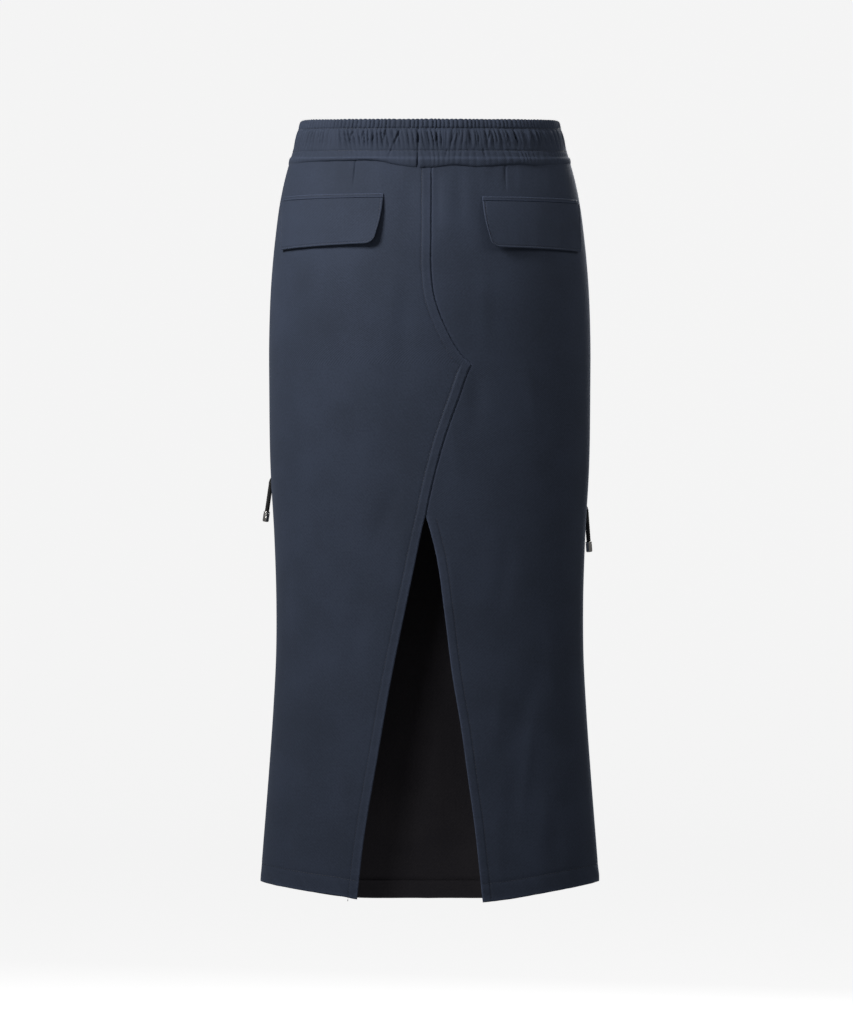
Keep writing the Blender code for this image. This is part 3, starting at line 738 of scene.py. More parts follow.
@dataclass(frozen=True)
class BraidFinish:
    """Braided polyester cord, solution-dyed black: each strand catches a thin line of light."""

    name: str = "braided polyester"
    colour: str = "#070708"
    light_colour: str = "#151618"
    roughness: float = 0.55
    # Yarns inside a strand are 0.3 mm apart.
    yarn_pitch: float = 0.0003

    def make(self) -> bpy.types.Material:
        """Makes the material, which reads the UV map in metres.

        Returns:
            The material.
        """
        made, tree, shader = bare_material(self.name)
        place = add_node(tree, "TexCoord").outputs["UV"]
        strands = {"Vector": place, "Scale": 1 / self.yarn_pitch, "Detail": 2.0}
        yarn = add_node(tree, "TexNoise", strands).outputs["Fac"]
        ramp = add_node(tree, "ValToRGB", {0: yarn})
        ends = zip(ramp.color_ramp.elements, (self.colour, self.light_colour), (0.35, 0.75))
        for end, colour, position in ends:
            end.color = linear(colour)
            end.position = position
        bump = add_node(tree, "Bump", {"Height": yarn, "Distance": 0.00006})
        fill(tree, shader, {
            "Base Color": ramp.outputs[0], "Normal": bump.outputs[0], "Roughness": self.roughness,
            "Sheen Weight": 0.05,
        })
        return made


@dataclass(frozen=True)
class NickelFinish:
    """Brass plated with bright nickel, turned and tumbled: mirror-like with faint fine scratches."""

    name: str = "nickel plate"
    colour: str = "#d9d7d2"
    dullest: float = 0.32
    brightest: float = 0.14
    # Scratches from tumbling are about 0.4 mm apart.
    scratch_pitch: float = 0.0004

    def make(self) -> bpy.types.Material:
        """Makes the material, which reads Object coordinates.

        Returns:
            The material.
        """
        made, tree, shader = bare_material(self.name)
        place = add_node(tree, "TexCoord").outputs["Object"]
        marks = {"Vector": place, "Scale": 1 / self.scratch_pitch, "Detail": 3.0}
        scratch = add_node(tree, "TexNoise", marks).outputs["Fac"]
        spread = {"Value": scratch, "To Min": self.brightest, "To Max": self.dullest}
        dull = add_node(tree, "MapRange", spread)
        bump = add_node(tree, "Bump", {"Height": scratch, "Distance": 0.000004})
        fill(tree, shader, {
            "Roughness": dull.outputs[0], "Normal": bump.outputs[0], "Base Color": linear(self.colour),
            "Metallic": 1.0,
        })
        return made


@dataclass(frozen=True)
class PaperFinish:
    """Matte white background paper, lit evenly from behind: pale from every side, with no shadow."""

    name: str = "background paper"
    colour: str = "#f4f4f4"
    glow: float = 0.86

    def make(self) -> bpy.types.Material:
        """Makes the material, which reads Object coordinates.

        Returns:
            The material.
        """
        made, tree, shader = bare_material(self.name)
        place = add_node(tree, "TexCoord").outputs["Object"]
        tooth = add_node(tree, "TexNoise", {"Vector": place, "Scale": 40.0})
        bump = add_node(tree, "Bump", {"Height": tooth.outputs["Fac"], "Distance": 0.0001})
        white = linear(self.colour)
        fill(tree, shader, {
            "Normal": bump.outputs[0], "Base Color": white, "Roughness": 0.95,
            "Emission Color": white, "Emission Strength": self.glow,
        })
        return made


@dataclass(frozen=True)
class Finishes:
    """The finishes that the skirt is dressed in."""

    twill: bpy.types.Material
    # The wrong side's colour is made lighter than the cloth's own: painted light inside the skirt.
    wrong_side_with_painted_light: bpy.types.Material
    band: bpy.types.Material
    thread: bpy.types.Material
    cord: bpy.types.Material
    nickel: bpy.types.Material


def make_finishes() -> Finishes:
    """Makes one material for each finish.

    Returns:
        The materials, by what they are for.
    """
    return Finishes(
        twill=TwillFinish("wool-blend twill", "#29303e", "#333b4c", "#49536a").make(),
        # The wrong side's greyish colour is lightened to stand in for the light that reaches inside the skirt: painted
        # light.
        wrong_side_with_painted_light=TwillFinish(
            "wool-blend twill wrong side, painted lighter", "#3a383e", "#474449", "#545157", sheen=0.05
        ).make(),
        # The band's worn colour paints its rubbed top edge and, on its rolled ridge, a painted highlight as well.
        band=TwillFinish("gathered wool-blend twill", "#29303e", "#333b4c", "#444d61").make(),
        thread=ThreadFinish().make(),
        cord=BraidFinish().make(),
        nickel=NickelFinish().make(),
    )


def finished_object(
    name: str, shape: bmesh.types.BMesh, materials: Sequence[bpy.types.Material], sharp: float = 50.0
) -> bpy.types.Object:
    """Makes a riding object of a bmesh, with its faces turned out.

    Args:
        name: The piece's name.
        shape: The mesh, which is freed.
        materials: The piece's materials, in slot order.
        sharp: Edges that turn by more than this many degrees stay sharp.

    Returns:
        The object.
    """
    bmesh.ops.recalc_face_normals(shape, faces=shape.faces[:])
    if shape.calc_volume(signed=True) < 0:
        bmesh.ops.reverse_faces(shape, faces=shape.faces[:])
    data = bpy.data.meshes.new(name)
    shape.to_mesh(data)
    shape.free()
    data.shade_smooth()
    data.set_sharp_from_angle(angle=math.radians(sharp))
    for material in materials:
        data.materials.append(material)
    made = bpy.data.objects.new(name, data)
    bpy.context.scene.collection.objects.link(made)
    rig.ride(made, BODY)
    log.info("%s: %d faces", name, len(data.polygons))
    return made


def cloth_shape(
    outer: Array, uv: Array, wear: Array, inner: Array | None = None
) -> bmesh.types.BMesh:
    """A sheet of quads on a grid of points, or a closed one with an inner face of its own.

    Args:
        outer: The outer face's points, by row and column.
        uv: The cloth's own coordinates at the points, in metres.
        wear: How much paler the cloth is painted at the points, from 0 to 1: rubbed cloth, and on the waistband's
            rolled ridge also a painted highlight.
        inner: The inner face's points, which take the second material.

    Returns:
        The mesh, with a UV map and the attribute wear.
    """
    rows, columns = outer.shape[0] - 1, outer.shape[1] - 1
    shape = bmesh.new()
    cloth = shape.loops.layers.uv.new("cloth")
    rubbed = shape.verts.layers.float.new("wear")
    bmesh.ops.create_grid(shape, x_segments=columns, y_segments=rows, size=1)
    inside = set()
    if inner is not None:
        made = bmesh.ops.extrude_face_region(shape, geom=shape.faces[:])["geom"]
        inside = {piece for piece in made if isinstance(piece, bmesh.types.BMVert)}
    place = {}
    for vert in shape.verts:
        key = (round((1 - vert.co.y) / 2 * rows), round((vert.co.x + 1) / 2 * columns))
        place[vert] = key
        vert.co = inner[key] if vert in inside else outer[key]
        vert[rubbed] = wear[key]
    for face in shape.faces:
        face.material_index = int(inner is not None and all(vert in inside for vert in face.verts))
        for loop in face.loops:
            loop[cloth].uv = uv[place[loop.vert]]
    bmesh.ops.remove_doubles(shape, verts=shape.verts[:], dist=MERGE_DISTANCE)
    return shape


def cloth_lengths(points: Array, drop: Array, origin: int = 0) -> Array:
    """The cloth's own coordinates, in metres: along each row from one column, and down.

    Args:
        points: The points, by row and column.
        drop: Their drops.
        origin: The column that the lengths are counted from.

    Returns:
        The coordinates, along a last axis of two.
    """
    along = np.stack([distances(row) for row in points])
    along = along - along[:, [origin]]
    return np.stack([along, -np.broadcast_to(drop, along.shape)], axis=-1)


def spun(profile: Sequence[tuple[float, float]], steps: int, closed: bool) -> bmesh.types.BMesh:
    """An outline turned round the upright axis.

    Args:
        profile: The outline, as radii and heights.
        steps: How many steps a full turn has.
        closed: Whether the outline's last point joins its first.

    Returns:
        The mesh.
    """
    shape = bmesh.new()
    points = [shape.verts.new((radius, 0, height)) for radius, height in profile]
    edges = [shape.edges.new(pair) for pair in zip(points, points[1:] + points[: int(closed)])]
    bmesh.ops.spin(
        shape, geom=points + edges, cent=(0, 0, 0), axis=(0, 0, 1),
        angle=math.tau, steps=steps, use_merge=True, use_duplicate=False,
    )
    bmesh.ops.remove_doubles(shape, verts=shape.verts[:], dist=MERGE_DISTANCE)
    loose = [edge for edge in shape.edges if not edge.link_faces]
    bmesh.ops.delete(shape, geom=loose, context="EDGES")
    return shape


def evenly(start: float, stop: float, spacing: float) -> list[float]:
    """Values from start to stop, about this far apart, without the first."""
    count = max(1, round((stop - start) / spacing))
    return [start + (stop - start) * (i + 1) / count for i in range(count)]


class EdgeLine:
    """A line across the back that distances are measured from."""

    def __init__(self, drop: Array, aside: Array) -> None:
        """Keeps the line's points."""
        self.points = np.stack([aside, drop], axis=-1)

    def distance(self, aside: Array, drop: Array) -> Array:
        """How far each place is from the nearest point of the line.

        Args:
            aside: Distances from the middle.
            drop: Drops below the waistband's top edge.

        Returns:
            The distances.
        """
        places = np.stack(np.broadcast_arrays(aside, drop), axis=-1)
        flat = places.reshape(-1, 1, 2)
        start, step = self.points[:-1], np.diff(self.points, axis=0)
        share = ((flat - start) * step).sum(-1) / (step**2).sum(-1)
        near = start + step * np.clip(share, 0, 1)[..., None]
        return np.linalg.norm(flat - near, axis=-1).min(axis=1).reshape(places.shape[:-1])

    def beside(self, offset: float) -> Array:
        """A line that runs beside this one.

        Args:
            offset: How far towards +X it runs, or towards -X where it is negative.

        Returns:
            Its points (aside, drop), without those that a corner would bring too near.
        """
        step = np.gradient(self.points, axis=0)
        square = np.stack([step[:, 1], -step[:, 0]], axis=-1)
        moved = self.points + square / np.linalg.norm(square, axis=-1, keepdims=True) * offset
        far = self.distance(moved[:, 0], moved[:, 1]) > abs(offset) * 0.97
        return moved[far]


@dataclass
class Stitching:
    """Rows of lockstitch that are sewn into one piece and ride with it."""

    name: str
    material: bpy.types.Material
    pitch: float = 0.0033
    length: float = 0.0027
    width: float = 0.0008
    height: float = 0.0006
    batch: int = 24
    places: list[Matrix] = field(default_factory=list)

    def sew(self, path: Array, outward: Array) -> None:
        """Lays one row of stitches.

        Args:
            path: The row's points, close together.
            outward: The directions square to the cloth there.
        """
        along = distances(path)

        def at(distance: float, values: Array) -> Vector:
            """The values at this distance along the row."""
            return Vector([np.interp(distance, along, values[:, axis]) for axis in range(3)])

        for number in range(int(along[-1] / self.pitch)):
            middle = (number + 0.5) * self.pitch
            tangent = at(middle + self.length / 2, path) - at(middle - self.length / 2, path)
            tangent.normalize()
            across = tangent.cross(at(middle, outward)).normalized()
            out = across.cross(tangent)
            sides = Matrix((across * self.width, out * self.height, tangent * self.length))
            place = Matrix.Translation(at(middle, path))
            self.places.append(place @ (sides.transposed() * 0.5).to_4x4())

    def build(self) -> bpy.types.Object:
        """Makes the stitches as small rounded threads.

        Returns:
            The stitches' object.
        """
        shape = bmesh.new()
        for first in range(0, len(self.places), self.batch):
            some = bmesh.new()
            for place in self.places[first : first + self.batch]:
                bmesh.ops.create_uvsphere(some, u_segments=6, v_segments=4, radius=1, matrix=place)
            data = bpy.data.meshes.new(self.name)
            some.to_mesh(data)
            some.free()
            shape.from_mesh(data)
            bpy.data.meshes.remove(data)
        made = finished_object(self.name, shape, [self.material], sharp=80)
        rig.slot(made, "navy_twill")
        return made


def declare_cloth(
    piece: bpy.types.Object,
    node: str,
    slot: str,
    flat: tuple[float, float],
    held: str,
    rests_on: Sequence[str],
    area: float | None,
    sewn: Sequence[bpy.types.Object],
) -> None:
    """Says what a piece of cloth stands for, and its cut.

    Args:
        piece: The cloth.
        node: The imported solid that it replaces.
        slot: The record's material slot.
        flat: The cut's width and length.
        held: How it is held.
        rests_on: What it is sewn to.
        area: The cut's area, where it isn't a rectangle.
        sewn: The stitches in it.
    """
    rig.replaces(piece, node)
    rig.slot(piece, slot)
    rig.sheet(piece, flat=flat, held=held, rests_on=rests_on, area=area, with_pieces=list(sewn))
    half = sum(face.area for face in piece.data.polygons) / 2
    log.info("%s: one layer measures %.4f square metres", piece.name, half)


class Panel:
    """What the back panels and the front share: their rows, their side edges and the hem."""

    finishes: Finishes
    twist: Waves

    def columns(self, drop: Array) -> Array:
        """The columns' angles at these drops."""
        raise NotImplementedError

    def rows(self, stops: Sequence[float], spacing: float) -> Array:
        """The rows' drops before the hem's own line moves them.

        Args:
            stops: Drops above the turn-up that get a row of their own.
            spacing: The distance between the rows.

        Returns:
            The drops.
        """
        drops = [PANEL_TOP_DROP]
        for stop in (*stops, TURN_UP_DROP - TURN_STEP):
            drops += evenly(drops[-1], stop, spacing)
        drops += [TURN_UP_DROP + step for step in (-0.0007, 0.0, 0.0008)]
        drops += evenly(drops[-1], PANEL_FOOT - HEM_OFFSETS[0], 0.002)
        return np.array(drops + [PANEL_FOOT - offset for offset in HEM_OFFSETS[1:]])

    def grid(self, rows: Array, count: int) -> tuple[Array, Array]:
        """The angles and drops of all points, where the rows near the hem follow its own line.

        Args:
            rows: The rows' drops before that.
            count: How many columns there are.

        Returns:
            The angles and the drops, by row and column.
        """
        nominal = drop = np.repeat(rows[:, None], count, axis=1)
        for _ in range(SETTLING_PASSES):
            angle = self.columns(drop)
            drop = FORM.hung_drop(nominal, angle)
        return angle, drop

    def beside_seam(self, drop: Array) -> Array:
        """The angles of the columns next to a side seam, counted from the seam."""
        return np.degrees((SIDE_OFFSETS + SIDE_SEAM_GAP / 2) / FORM.back_depth(drop[:, : len(SIDE_OFFSETS)]))

    def hem_relief(self, aside: Array, above: Array) -> Array:
        """The hem's stitched groove and the twist that the sewing leaves.

        Args:
            aside: Distances from the middle.
            above: Heights above the hem.

        Returns:
            The rise at each place.
        """
        groove = -GROOVE_DEPTH * bell((above - HEM_TURN_UP) / GROOVE_WIDTH)
        twist = ROPING * sines(aside + above * ROPING_SLANT, self.twist)
        return groove + twist * eased(1.2 - above / HEM_TURN_UP)

    def panel(
        self, name: str, angle: Array, drop: Array, rise: Array, from_side: Array,
        from_edge: Any = FAR, origin: int = 0,
    ) -> bpy.types.Object:
        """Makes the panel of two faces, thicker where the cloth is turned in or up.

        Args:
            name: The panel's name.
            angle: The points' angles.
            drop: The points' drops.
            rise: How far the finished cloth stands from the plain form.
            from_side: Distances from a side seam, for each column.
            from_edge: Distances from the middle seam and the slit.
            origin: The column that the cloth's own lengths are counted from.

        Returns:
            The panel's object.
        """
        from_hem = np.maximum(FORM.hem(angle) - drop, 0)
        from_hem[-1] = 0
        rise = rise - SIDE_SINK * bell(from_side / SIDE_SINK_REACH)
        turned_in = eased((EDGE_TURN - from_edge) / TURN_STEP)
        doubled = np.maximum(turned_in, eased((HEM_TURN_UP - from_hem) / TURN_STEP + 1))
        thick = CLOTH_THICKNESS + (TURNED_CLOTH - CLOTH_THICKNESS) * doubled
        half = TURNED_CLOTH / 2
        sunk = np.maximum(edge_round(from_edge, half), edge_round(from_hem, half))
        outer = FORM.point(angle, drop, rise - sunk)
        inner = FORM.point(angle, drop, rise - thick + sunk * (thick / TURNED_CLOTH))
        edge_wear = np.where(drop > SLIT_TOP_DROP, 1.0, SEAM_WEAR) * np.exp(-from_edge / WEAR_REACH)
        wear = np.maximum(edge_wear, np.exp(-from_hem / WEAR_REACH))
        shape = cloth_shape(outer, cloth_lengths(outer, drop, origin), wear, inner)
        # The inner face takes the wrong side's colour, which is lightened as painted light.
        return finished_object(name, shape, [self.finishes.twill, self.finishes.wrong_side_with_painted_light])


@dataclass
class BackPanel(Panel):
    """One back panel, from the side seam to the middle seam and the open slit."""

    side: Side
    finishes: Finishes
    flat: tuple[float, float] = (0.262, 0.826)
    area: float = 0.170
    column_count: int = 62
    row_spacing: float = 0.0039
    topstitch: float = 0.0100
    stitch_width: float = 0.0009
    edge_top: float = 0.0400
    edge_foot: float = 0.866
    seam_spacing: float = 0.003
    slit_spacing: float = 0.004
    lap_ease: float = 0.010
    slit_ease: float = 0.012
    lap_step: float = 0.0022
    # The dark line beside the lap, which the lower panel shows.
    line_depth: float = 0.0011
    line_width: float = 0.0006
    line_from_edge: float = 0.0013
    pull_from_edge: float = 0.006
    pull_reach: float = 0.008
    topstitch_foot: float = 0.8575
    hem_stitch_end: float = 8.0
    stitch_clearance: float = 0.001
    dart_columns: tuple[float, float, int] = (0.615, 0.700, 30)
    twist: Waves = ((58, 0.3, 1.0), (83, 1.7, 0.7), (31, 2.9, 0.6))
    pull: Waves = ((62, 0.4, 0.00010), (97, 1.9, 0.00008), (37, 2.6, 0.00007))
    edge_offsets: tuple[float, ...] = (
        0.0145, 0.0128, 0.0116, 0.0108, 0.0104, 0.0100, 0.0096, 0.0092, 0.0086, 0.0078, 0.0066,
        0.0052, 0.0038, 0.0026, 0.0018, 0.0012, 0.0007, 0.0003, 0.0,
    )

    def __post_init__(self) -> None:
        """Draws the panel's inner edge."""
        slit = SLIT_LEFT if self.side is Side.LEFT else SLIT_RIGHT
        lines = (CENTRE_SEAM, RETURN_SEAM, slit)
        self.seam, self.back_seam, self.slit = (SmoothLine(line, "drop", "aside") for line in lines)
        drops = [self.edge_top]
        for stop in (SEAM_POINT_DROP, SLIT_TOP_DROP):
            drops += evenly(drops[-1], stop, self.seam_spacing)
        drops += evenly(drops[-1], self.edge_foot, self.slit_spacing)
        self.edge = EdgeLine(np.array(drops), self.edge_aside(np.array(drops)))

    def edge_aside(self, drop: Array) -> Array:
        """How far aside the inner edge lies.

        Args:
            drop: Drops below the waistband's top edge.

        Returns:
            The distances from the middle.
        """
        below = np.where(drop < SLIT_TOP_DROP, self.back_seam(drop), self.slit(drop))
        line = np.where(drop < SEAM_POINT_DROP, self.seam(drop), below)
        gap = (SEAM_GAP + SEAM_LAP) * eased((drop - SLIT_TOP_DROP) / SEAM_EASE) - SEAM_LAP
        return line + self.side.hand * gap / 2

    def relief(self, aside: Array, drop: Array, from_edge: Array) -> Array:
        """How far the finished cloth stands from the plain form.

        Args:
            aside: Distances from the middle of the back.
            drop: Drops.
            from_edge: Distances from the panel's inner edge.

        Returns:
            The rise at each place.
        """
        rise = fold_rise([*CREASES[Face.BACK], DARTS[self.side]], aside, drop)
        below_slit = eased((drop - SLIT_TOP_DROP) / self.slit_ease)
        over = self.side is Side.LEFT
        lap = LAP_RISE * eased((drop - LAP_START_DROP) / self.lap_ease) if over else 0.0
        lap = lap * (1 - below_slit) + LAP_RISE / 2 * below_slit
        sewn = 1.0 if over else below_slit
        rise = rise + lap * eased((self.topstitch - from_edge) / self.lap_step)
        rise = rise - GROOVE_DEPTH * sewn * bell((from_edge - self.topstitch) / self.stitch_width)
        line = bell((from_edge - self.line_from_edge) / self.line_width)
        rise = rise - self.line_depth * (1 - sewn) * line
        pulled = bell((from_edge - self.pull_from_edge) / self.pull_reach)
        rise = rise + sewn * sines(drop, self.pull) * pulled
        return rise + self.hem_relief(aside, FORM.hem(FORM.angle_at(aside, drop)) - drop)

    def point(self, aside: Array, drop: Array) -> tuple[Array, Array]:
        """Points on the finished cloth's outer face, and the directions out of it.

        Args:
            aside: Distances from the middle.
            drop: Drops below the waistband's top edge.

        Returns:
            The points and the directions.
        """
        angle = FORM.angle_at(aside, drop)
        rise = self.relief(aside, drop, self.edge.distance(aside, drop))
        return FORM.point(angle, drop, rise), FORM.outward(angle, drop)

    def columns(self, drop: Array) -> Array:
        """The columns' angles at these drops.

        Args:
            drop: The points' drops.

        Returns:
            The angles, by row and column.
        """
        hand, inner = self.side.hand, drop[:, -len(self.edge_offsets) :]
        edge = FORM.angle_at(self.edge_aside(inner) + hand * np.array(self.edge_offsets), inner)
        seam = hand * (SIDE_SEAM - self.beside_seam(drop))
        middle = seam[:, -1:] + (edge[:, :1] - seam[:, -1:]) * self.shares()
        return np.concatenate([seam, middle, edge], axis=1)

    def shares(self) -> Array:
        """The plain columns, closer together where the dart is.

        Returns:
            How far each lies from the side seam's columns to the edge's, from 0 to 1.
        """
        plain = np.arange(1, self.column_count) / self.column_count
        fine = np.linspace(*self.dart_columns)
        return np.concatenate([plain[plain < fine[0] - 0.004], fine, plain[plain > fine[-1] + 0.004]])

    def build(self) -> bpy.types.Object:
        """Makes the panel with its stitches.

        Returns:
            The panel's object.
        """
        count = len(SIDE_OFFSETS) + len(self.shares()) + len(self.edge_offsets)
        rows = self.rows((LAP_START_DROP, SEAM_POINT_DROP, SLIT_TOP_DROP), self.row_spacing)
        angle, drop = self.grid(rows, count)
        aside = FORM.aside(angle, drop)
        from_edge = np.maximum(self.edge.distance(aside, drop) - 0.00001, 0)
        from_edge[:, -1] = 0
        from_side = np.full(count, FAR)
        from_side[: len(SIDE_OFFSETS)] = SIDE_OFFSETS
        rise = self.relief(aside, drop, from_edge)
        side, other = self.side.value, "back_right" if self.side is Side.LEFT else "back_left"
        piece = self.panel(f"skirt_back_{side}", angle, drop, rise, from_side, from_edge, origin=-1)
        rests_on = ["waistband", "front", other]
        sewn = [self.sew()]
        declare_cloth(piece, f"back_{side}", "navy_twill", self.flat, "hung", rests_on, self.area, sewn)
        return piece

    def sew(self) -> bpy.types.Object:
        """Makes the topstitching along the seam and the slit, and the hem's stitching.

        Returns:
            The stitches' object.
        """
        thread = Stitching(f"thread_back_{self.side.value}", self.finishes.thread)
        start = LAP_START_DROP if self.side is Side.LEFT else SLIT_TOP_DROP + 0.004
        line = self.edge.beside(self.side.hand * self.topstitch)
        line = line[(line[:, 1] > start) & (line[:, 1] < self.topstitch_foot)]
        thread.sew(*self.point(line[:, 0], line[:, 1]))
        angles = self.side.hand * np.linspace(SIDE_SEAM - 1.0, self.hem_stitch_end, 500)
        drops = FORM.hem(angles) - HEM_TURN_UP
        asides = FORM.aside(angles, drops)
        cut = self.edge_aside(drops) + self.side.hand * self.stitch_clearance
        on_cloth = (asides - cut) * self.side.hand > 0
        thread.sew(*self.point(asides[on_cloth], drops[on_cloth]))
        return thread.build()


@dataclass
class FrontPanel(Panel):
    """The front, from side seam to side seam, with its wrong side showing in the slit."""

    finishes: Finishes
    flat: tuple[float, float] = (0.482, 0.830)
    area: float = 0.380
    column_count: int = 108
    row_spacing: float = 0.0042
    twist: Waves = ((55, 0.9, 1.0), (79, 2.1, 0.7), (33, 0.2, 0.6))

    def relief(self, angle: Array, drop: Array) -> Array:
        """How far the finished cloth stands from the plain form.

        Args:
            angle: Angles round the skirt.
            drop: Drops below the waistband's top edge.

        Returns:
            The rise at each place.
        """
        aside = FORM.aside(angle, drop)
        rise = fold_rise(CREASES[Face.FRONT], aside, drop)
        return rise + self.hem_relief(aside, FORM.hem(angle) - drop)

    def columns(self, drop: Array) -> Array:
        """The columns' angles at these drops.

        Args:
            drop: The points' drops.

        Returns:
            The angles, by row and column.
        """
        first = SIDE_SEAM + self.beside_seam(drop)
        last = 360 - first[:, ::-1]
        shares = np.arange(1, self.column_count) / self.column_count
        middle = first[:, -1:] + (last[:, :1] - first[:, -1:]) * shares
        return np.concatenate([first, middle, last], axis=1)

    def build(self) -> bpy.types.Object:
        """Makes the panel with its stitches.

        Returns:
            The panel's object.
        """
        near = len(SIDE_OFFSETS)
        count = self.column_count - 1 + 2 * near
        angle, drop = self.grid(self.rows((), self.row_spacing), count)
        from_side = np.full(count, FAR)
        from_side[:near] = SIDE_OFFSETS
        from_side[-near:] = SIDE_OFFSETS[::-1]
        piece = self.panel("skirt_front", angle, drop, self.relief(angle, drop), from_side)
        sewn = [self.sew("thread_front", 0.0), self.sew("thread_front_inside", -CLOTH_THICKNESS)]
        declare_cloth(piece, "front", "navy_twill", self.flat, "hung", ["waistband"], self.area, sewn)
        return piece

    def sew(self, name: str, rise: float) -> bpy.types.Object:
        """Makes the hem's stitching.

        Args:
            name: The stitches' name.
            rise: How far they lie from the cloth's outer face.

        Returns:
            The stitches.
        """
        thread = Stitching(name, self.finishes.thread)
        angle = np.linspace(SIDE_SEAM + 1, 359 - SIDE_SEAM, 900)
        drop = FORM.hem(angle) - HEM_TURN_UP
        path = FORM.point(angle, drop, self.relief(angle, drop) + rise)
        thread.sew(path, FORM.outward(angle, drop))
        return thread.build()


@dataclass
class Waistband:
    """The elastic waistband: a gathered outer face over a plain lining, open at the top and foot."""

    finishes: Finishes
    flat: tuple[float, float] = (1.02, 0.052)
    column_count: int = 1200
    header_gathers: int = 160
    gathers: int = 84
    fine_gathers: int = 146
    lower_gathers: int = 118
    channel_top: float = 0.0074
    channel_ease: float = 0.0014
    channel_middle: float = 0.0165
    lower_top: float = 0.0255
    lower_ease: float = 0.0070
    stitch_rows: tuple[float, ...] = (0.0080, 0.0325)
    stitch_steps: int = 5000
    fixed_height: float = 0.040
    frill_reach: float = 0.004
    join_aside: float = -0.0122
    join_depth: float = 0.0014
    join_width: float = 0.0011
    join_lap: float = 0.009
    join_rise: float = 0.0006
    side_reach: float = 7.0
    gathered_length: float = 1.28
    pleat_share: float = 0.8
    least_rise: float = -0.0005
    roll_softness: tuple[float, float] = (0.0012, 0.0016)
    lining_softness: float = -0.0006
    lining_foot: float = 0.0375
    edge_wear: float = 0.25
    # The ridge of the rolled lower edge is painted paler: partly rubbed cloth, partly a painted highlight where the
    # light catches it.
    roll_wear_and_highlight: float = 0.5
    rows_down: tuple[float, ...] = (
        0.0000, 0.0004, 0.0010, 0.0018, 0.0028, 0.0040, 0.0052, 0.0062, 0.0069, 0.0074, 0.0077,
        0.0080, 0.0083, 0.0086, 0.0091, 0.0098, 0.0108, 0.0120, 0.0134, 0.0148, 0.0162, 0.0176,
        0.0190, 0.0204, 0.0218, 0.0232, 0.0246, 0.0260, 0.0274, 0.0288, 0.0300, 0.0310, 0.0317,
        0.0322, 0.0325, 0.0328, 0.0333, 0.0340, 0.0350, 0.0362, 0.0375, 0.0388,
    )
    roll: tuple[tuple[float, float], ...] = (
        (0.00, 0.0014), (0.08, 0.0018), (0.18, 0.0020), (0.34, 0.0020), (0.50, 0.0019),
        (0.66, 0.0017), (0.80, 0.0014), (0.91, 0.0009), (1.00, 0.0000),
    )
    lining: tuple[tuple[float, float], ...] = (
        (0.0440, 0.0004), (0.0405, -0.0006), (0.0375, -0.0012), (0.0325, -0.0013), (0.0270, -0.0016),
        (0.0200, -0.0018), (0.0140, -0.0017), (0.0085, -0.0013), (0.0050, -0.0014), (0.0022, -0.0013),
        (0.0008, -0.0010),
    )

    def __post_init__(self) -> None:
        """Measures the way round the waist."""
        self.angles = np.linspace(-180, 180, self.column_count + 1)
        self.along = distances(FORM.point(self.angles, BAND_MIDDLE))
        self.girth = float(self.along[-1])
        self.base = SmoothLine(BAND_ROWS, "below_top", "rise")
        self.depth = SmoothLine(BAND_ROWS, "below_top", "gather")

    def way_round(self, angle: Any) -> Array:
        """How far round the waist an angle lies, in metres from the middle of the front."""
        return np.interp(angle, self.angles, self.along)

    def crests(self, share: Array, count: int, phase: float) -> Array:
        """Rounded crests with narrow hollows between them.

        Args:
            share: How far round the waist, as a share of a full turn.
            count: How many crests there are.
            phase: What makes this run of crests differ from the next.

        Returns:
            1 on a crest and 0 in a hollow.
        """
        waves = (
            (5, 1.0 + phase, 0.9), (13, 2.2 + phase, 0.8), (23, phase, 0.6),
            (41, 0.7 * phase, 0.5), (67, 1.3 * phase, 0.35),
        )
        turn = math.tau * count * share + sines(share, waves)
        return np.abs(np.cos(turn / 2)) ** 0.75

    def gathered(self, angle: Array, below: Array) -> Array:
        """How far the gathers stand out, as a share of their depth there.

        Args:
            angle: Angles round the skirt.
            below: Heights below the band's top edge.

        Returns:
            The shares.
        """
        share = self.way_round(angle) / self.girth
        lean = sines(share, ((1, 2.0, 0.16), (4, 0.5, 0.14), (9, 2.4, 0.10), (17, 1.1, 0.08)))
        leaned = share + lean * (below - self.channel_middle) / self.girth
        uneven = 0.66 + sines(share, ((3, 0.9, 0.12), (9, 0.6, 0.14), (17, 1.9, 0.12), (31, 0.4, 0.08)))
        bold = 0.6 + sines(share, ((2, 0.0, 0.4),))
        header = self.crests(share, self.header_gathers, 0.6)
        header = 0.10 + header * (1.6 - 0.7 * uneven - 0.4 * bold)
        channel = self.crests(leaned, self.gathers, 0.0) * uneven * bold
        fine = self.crests(leaned, self.fine_gathers, 1.7)
        channel = channel + fine * (1.3 - uneven) * (1.60 - 1.20 * bold)
        lower = self.crests(leaned, self.lower_gathers, 2.9)
        lower = 0.25 + 0.75 * lower * (1.35 - uneven) * (0.5 + 0.5 * bold)
        into_channel = eased((below - self.channel_top) / self.channel_ease)
        into_lower = eased((below - self.lower_top) / self.lower_ease)
        upper = header * (1 - into_channel) + channel * into_channel
        return upper * (1 - into_lower) + lower * into_lower

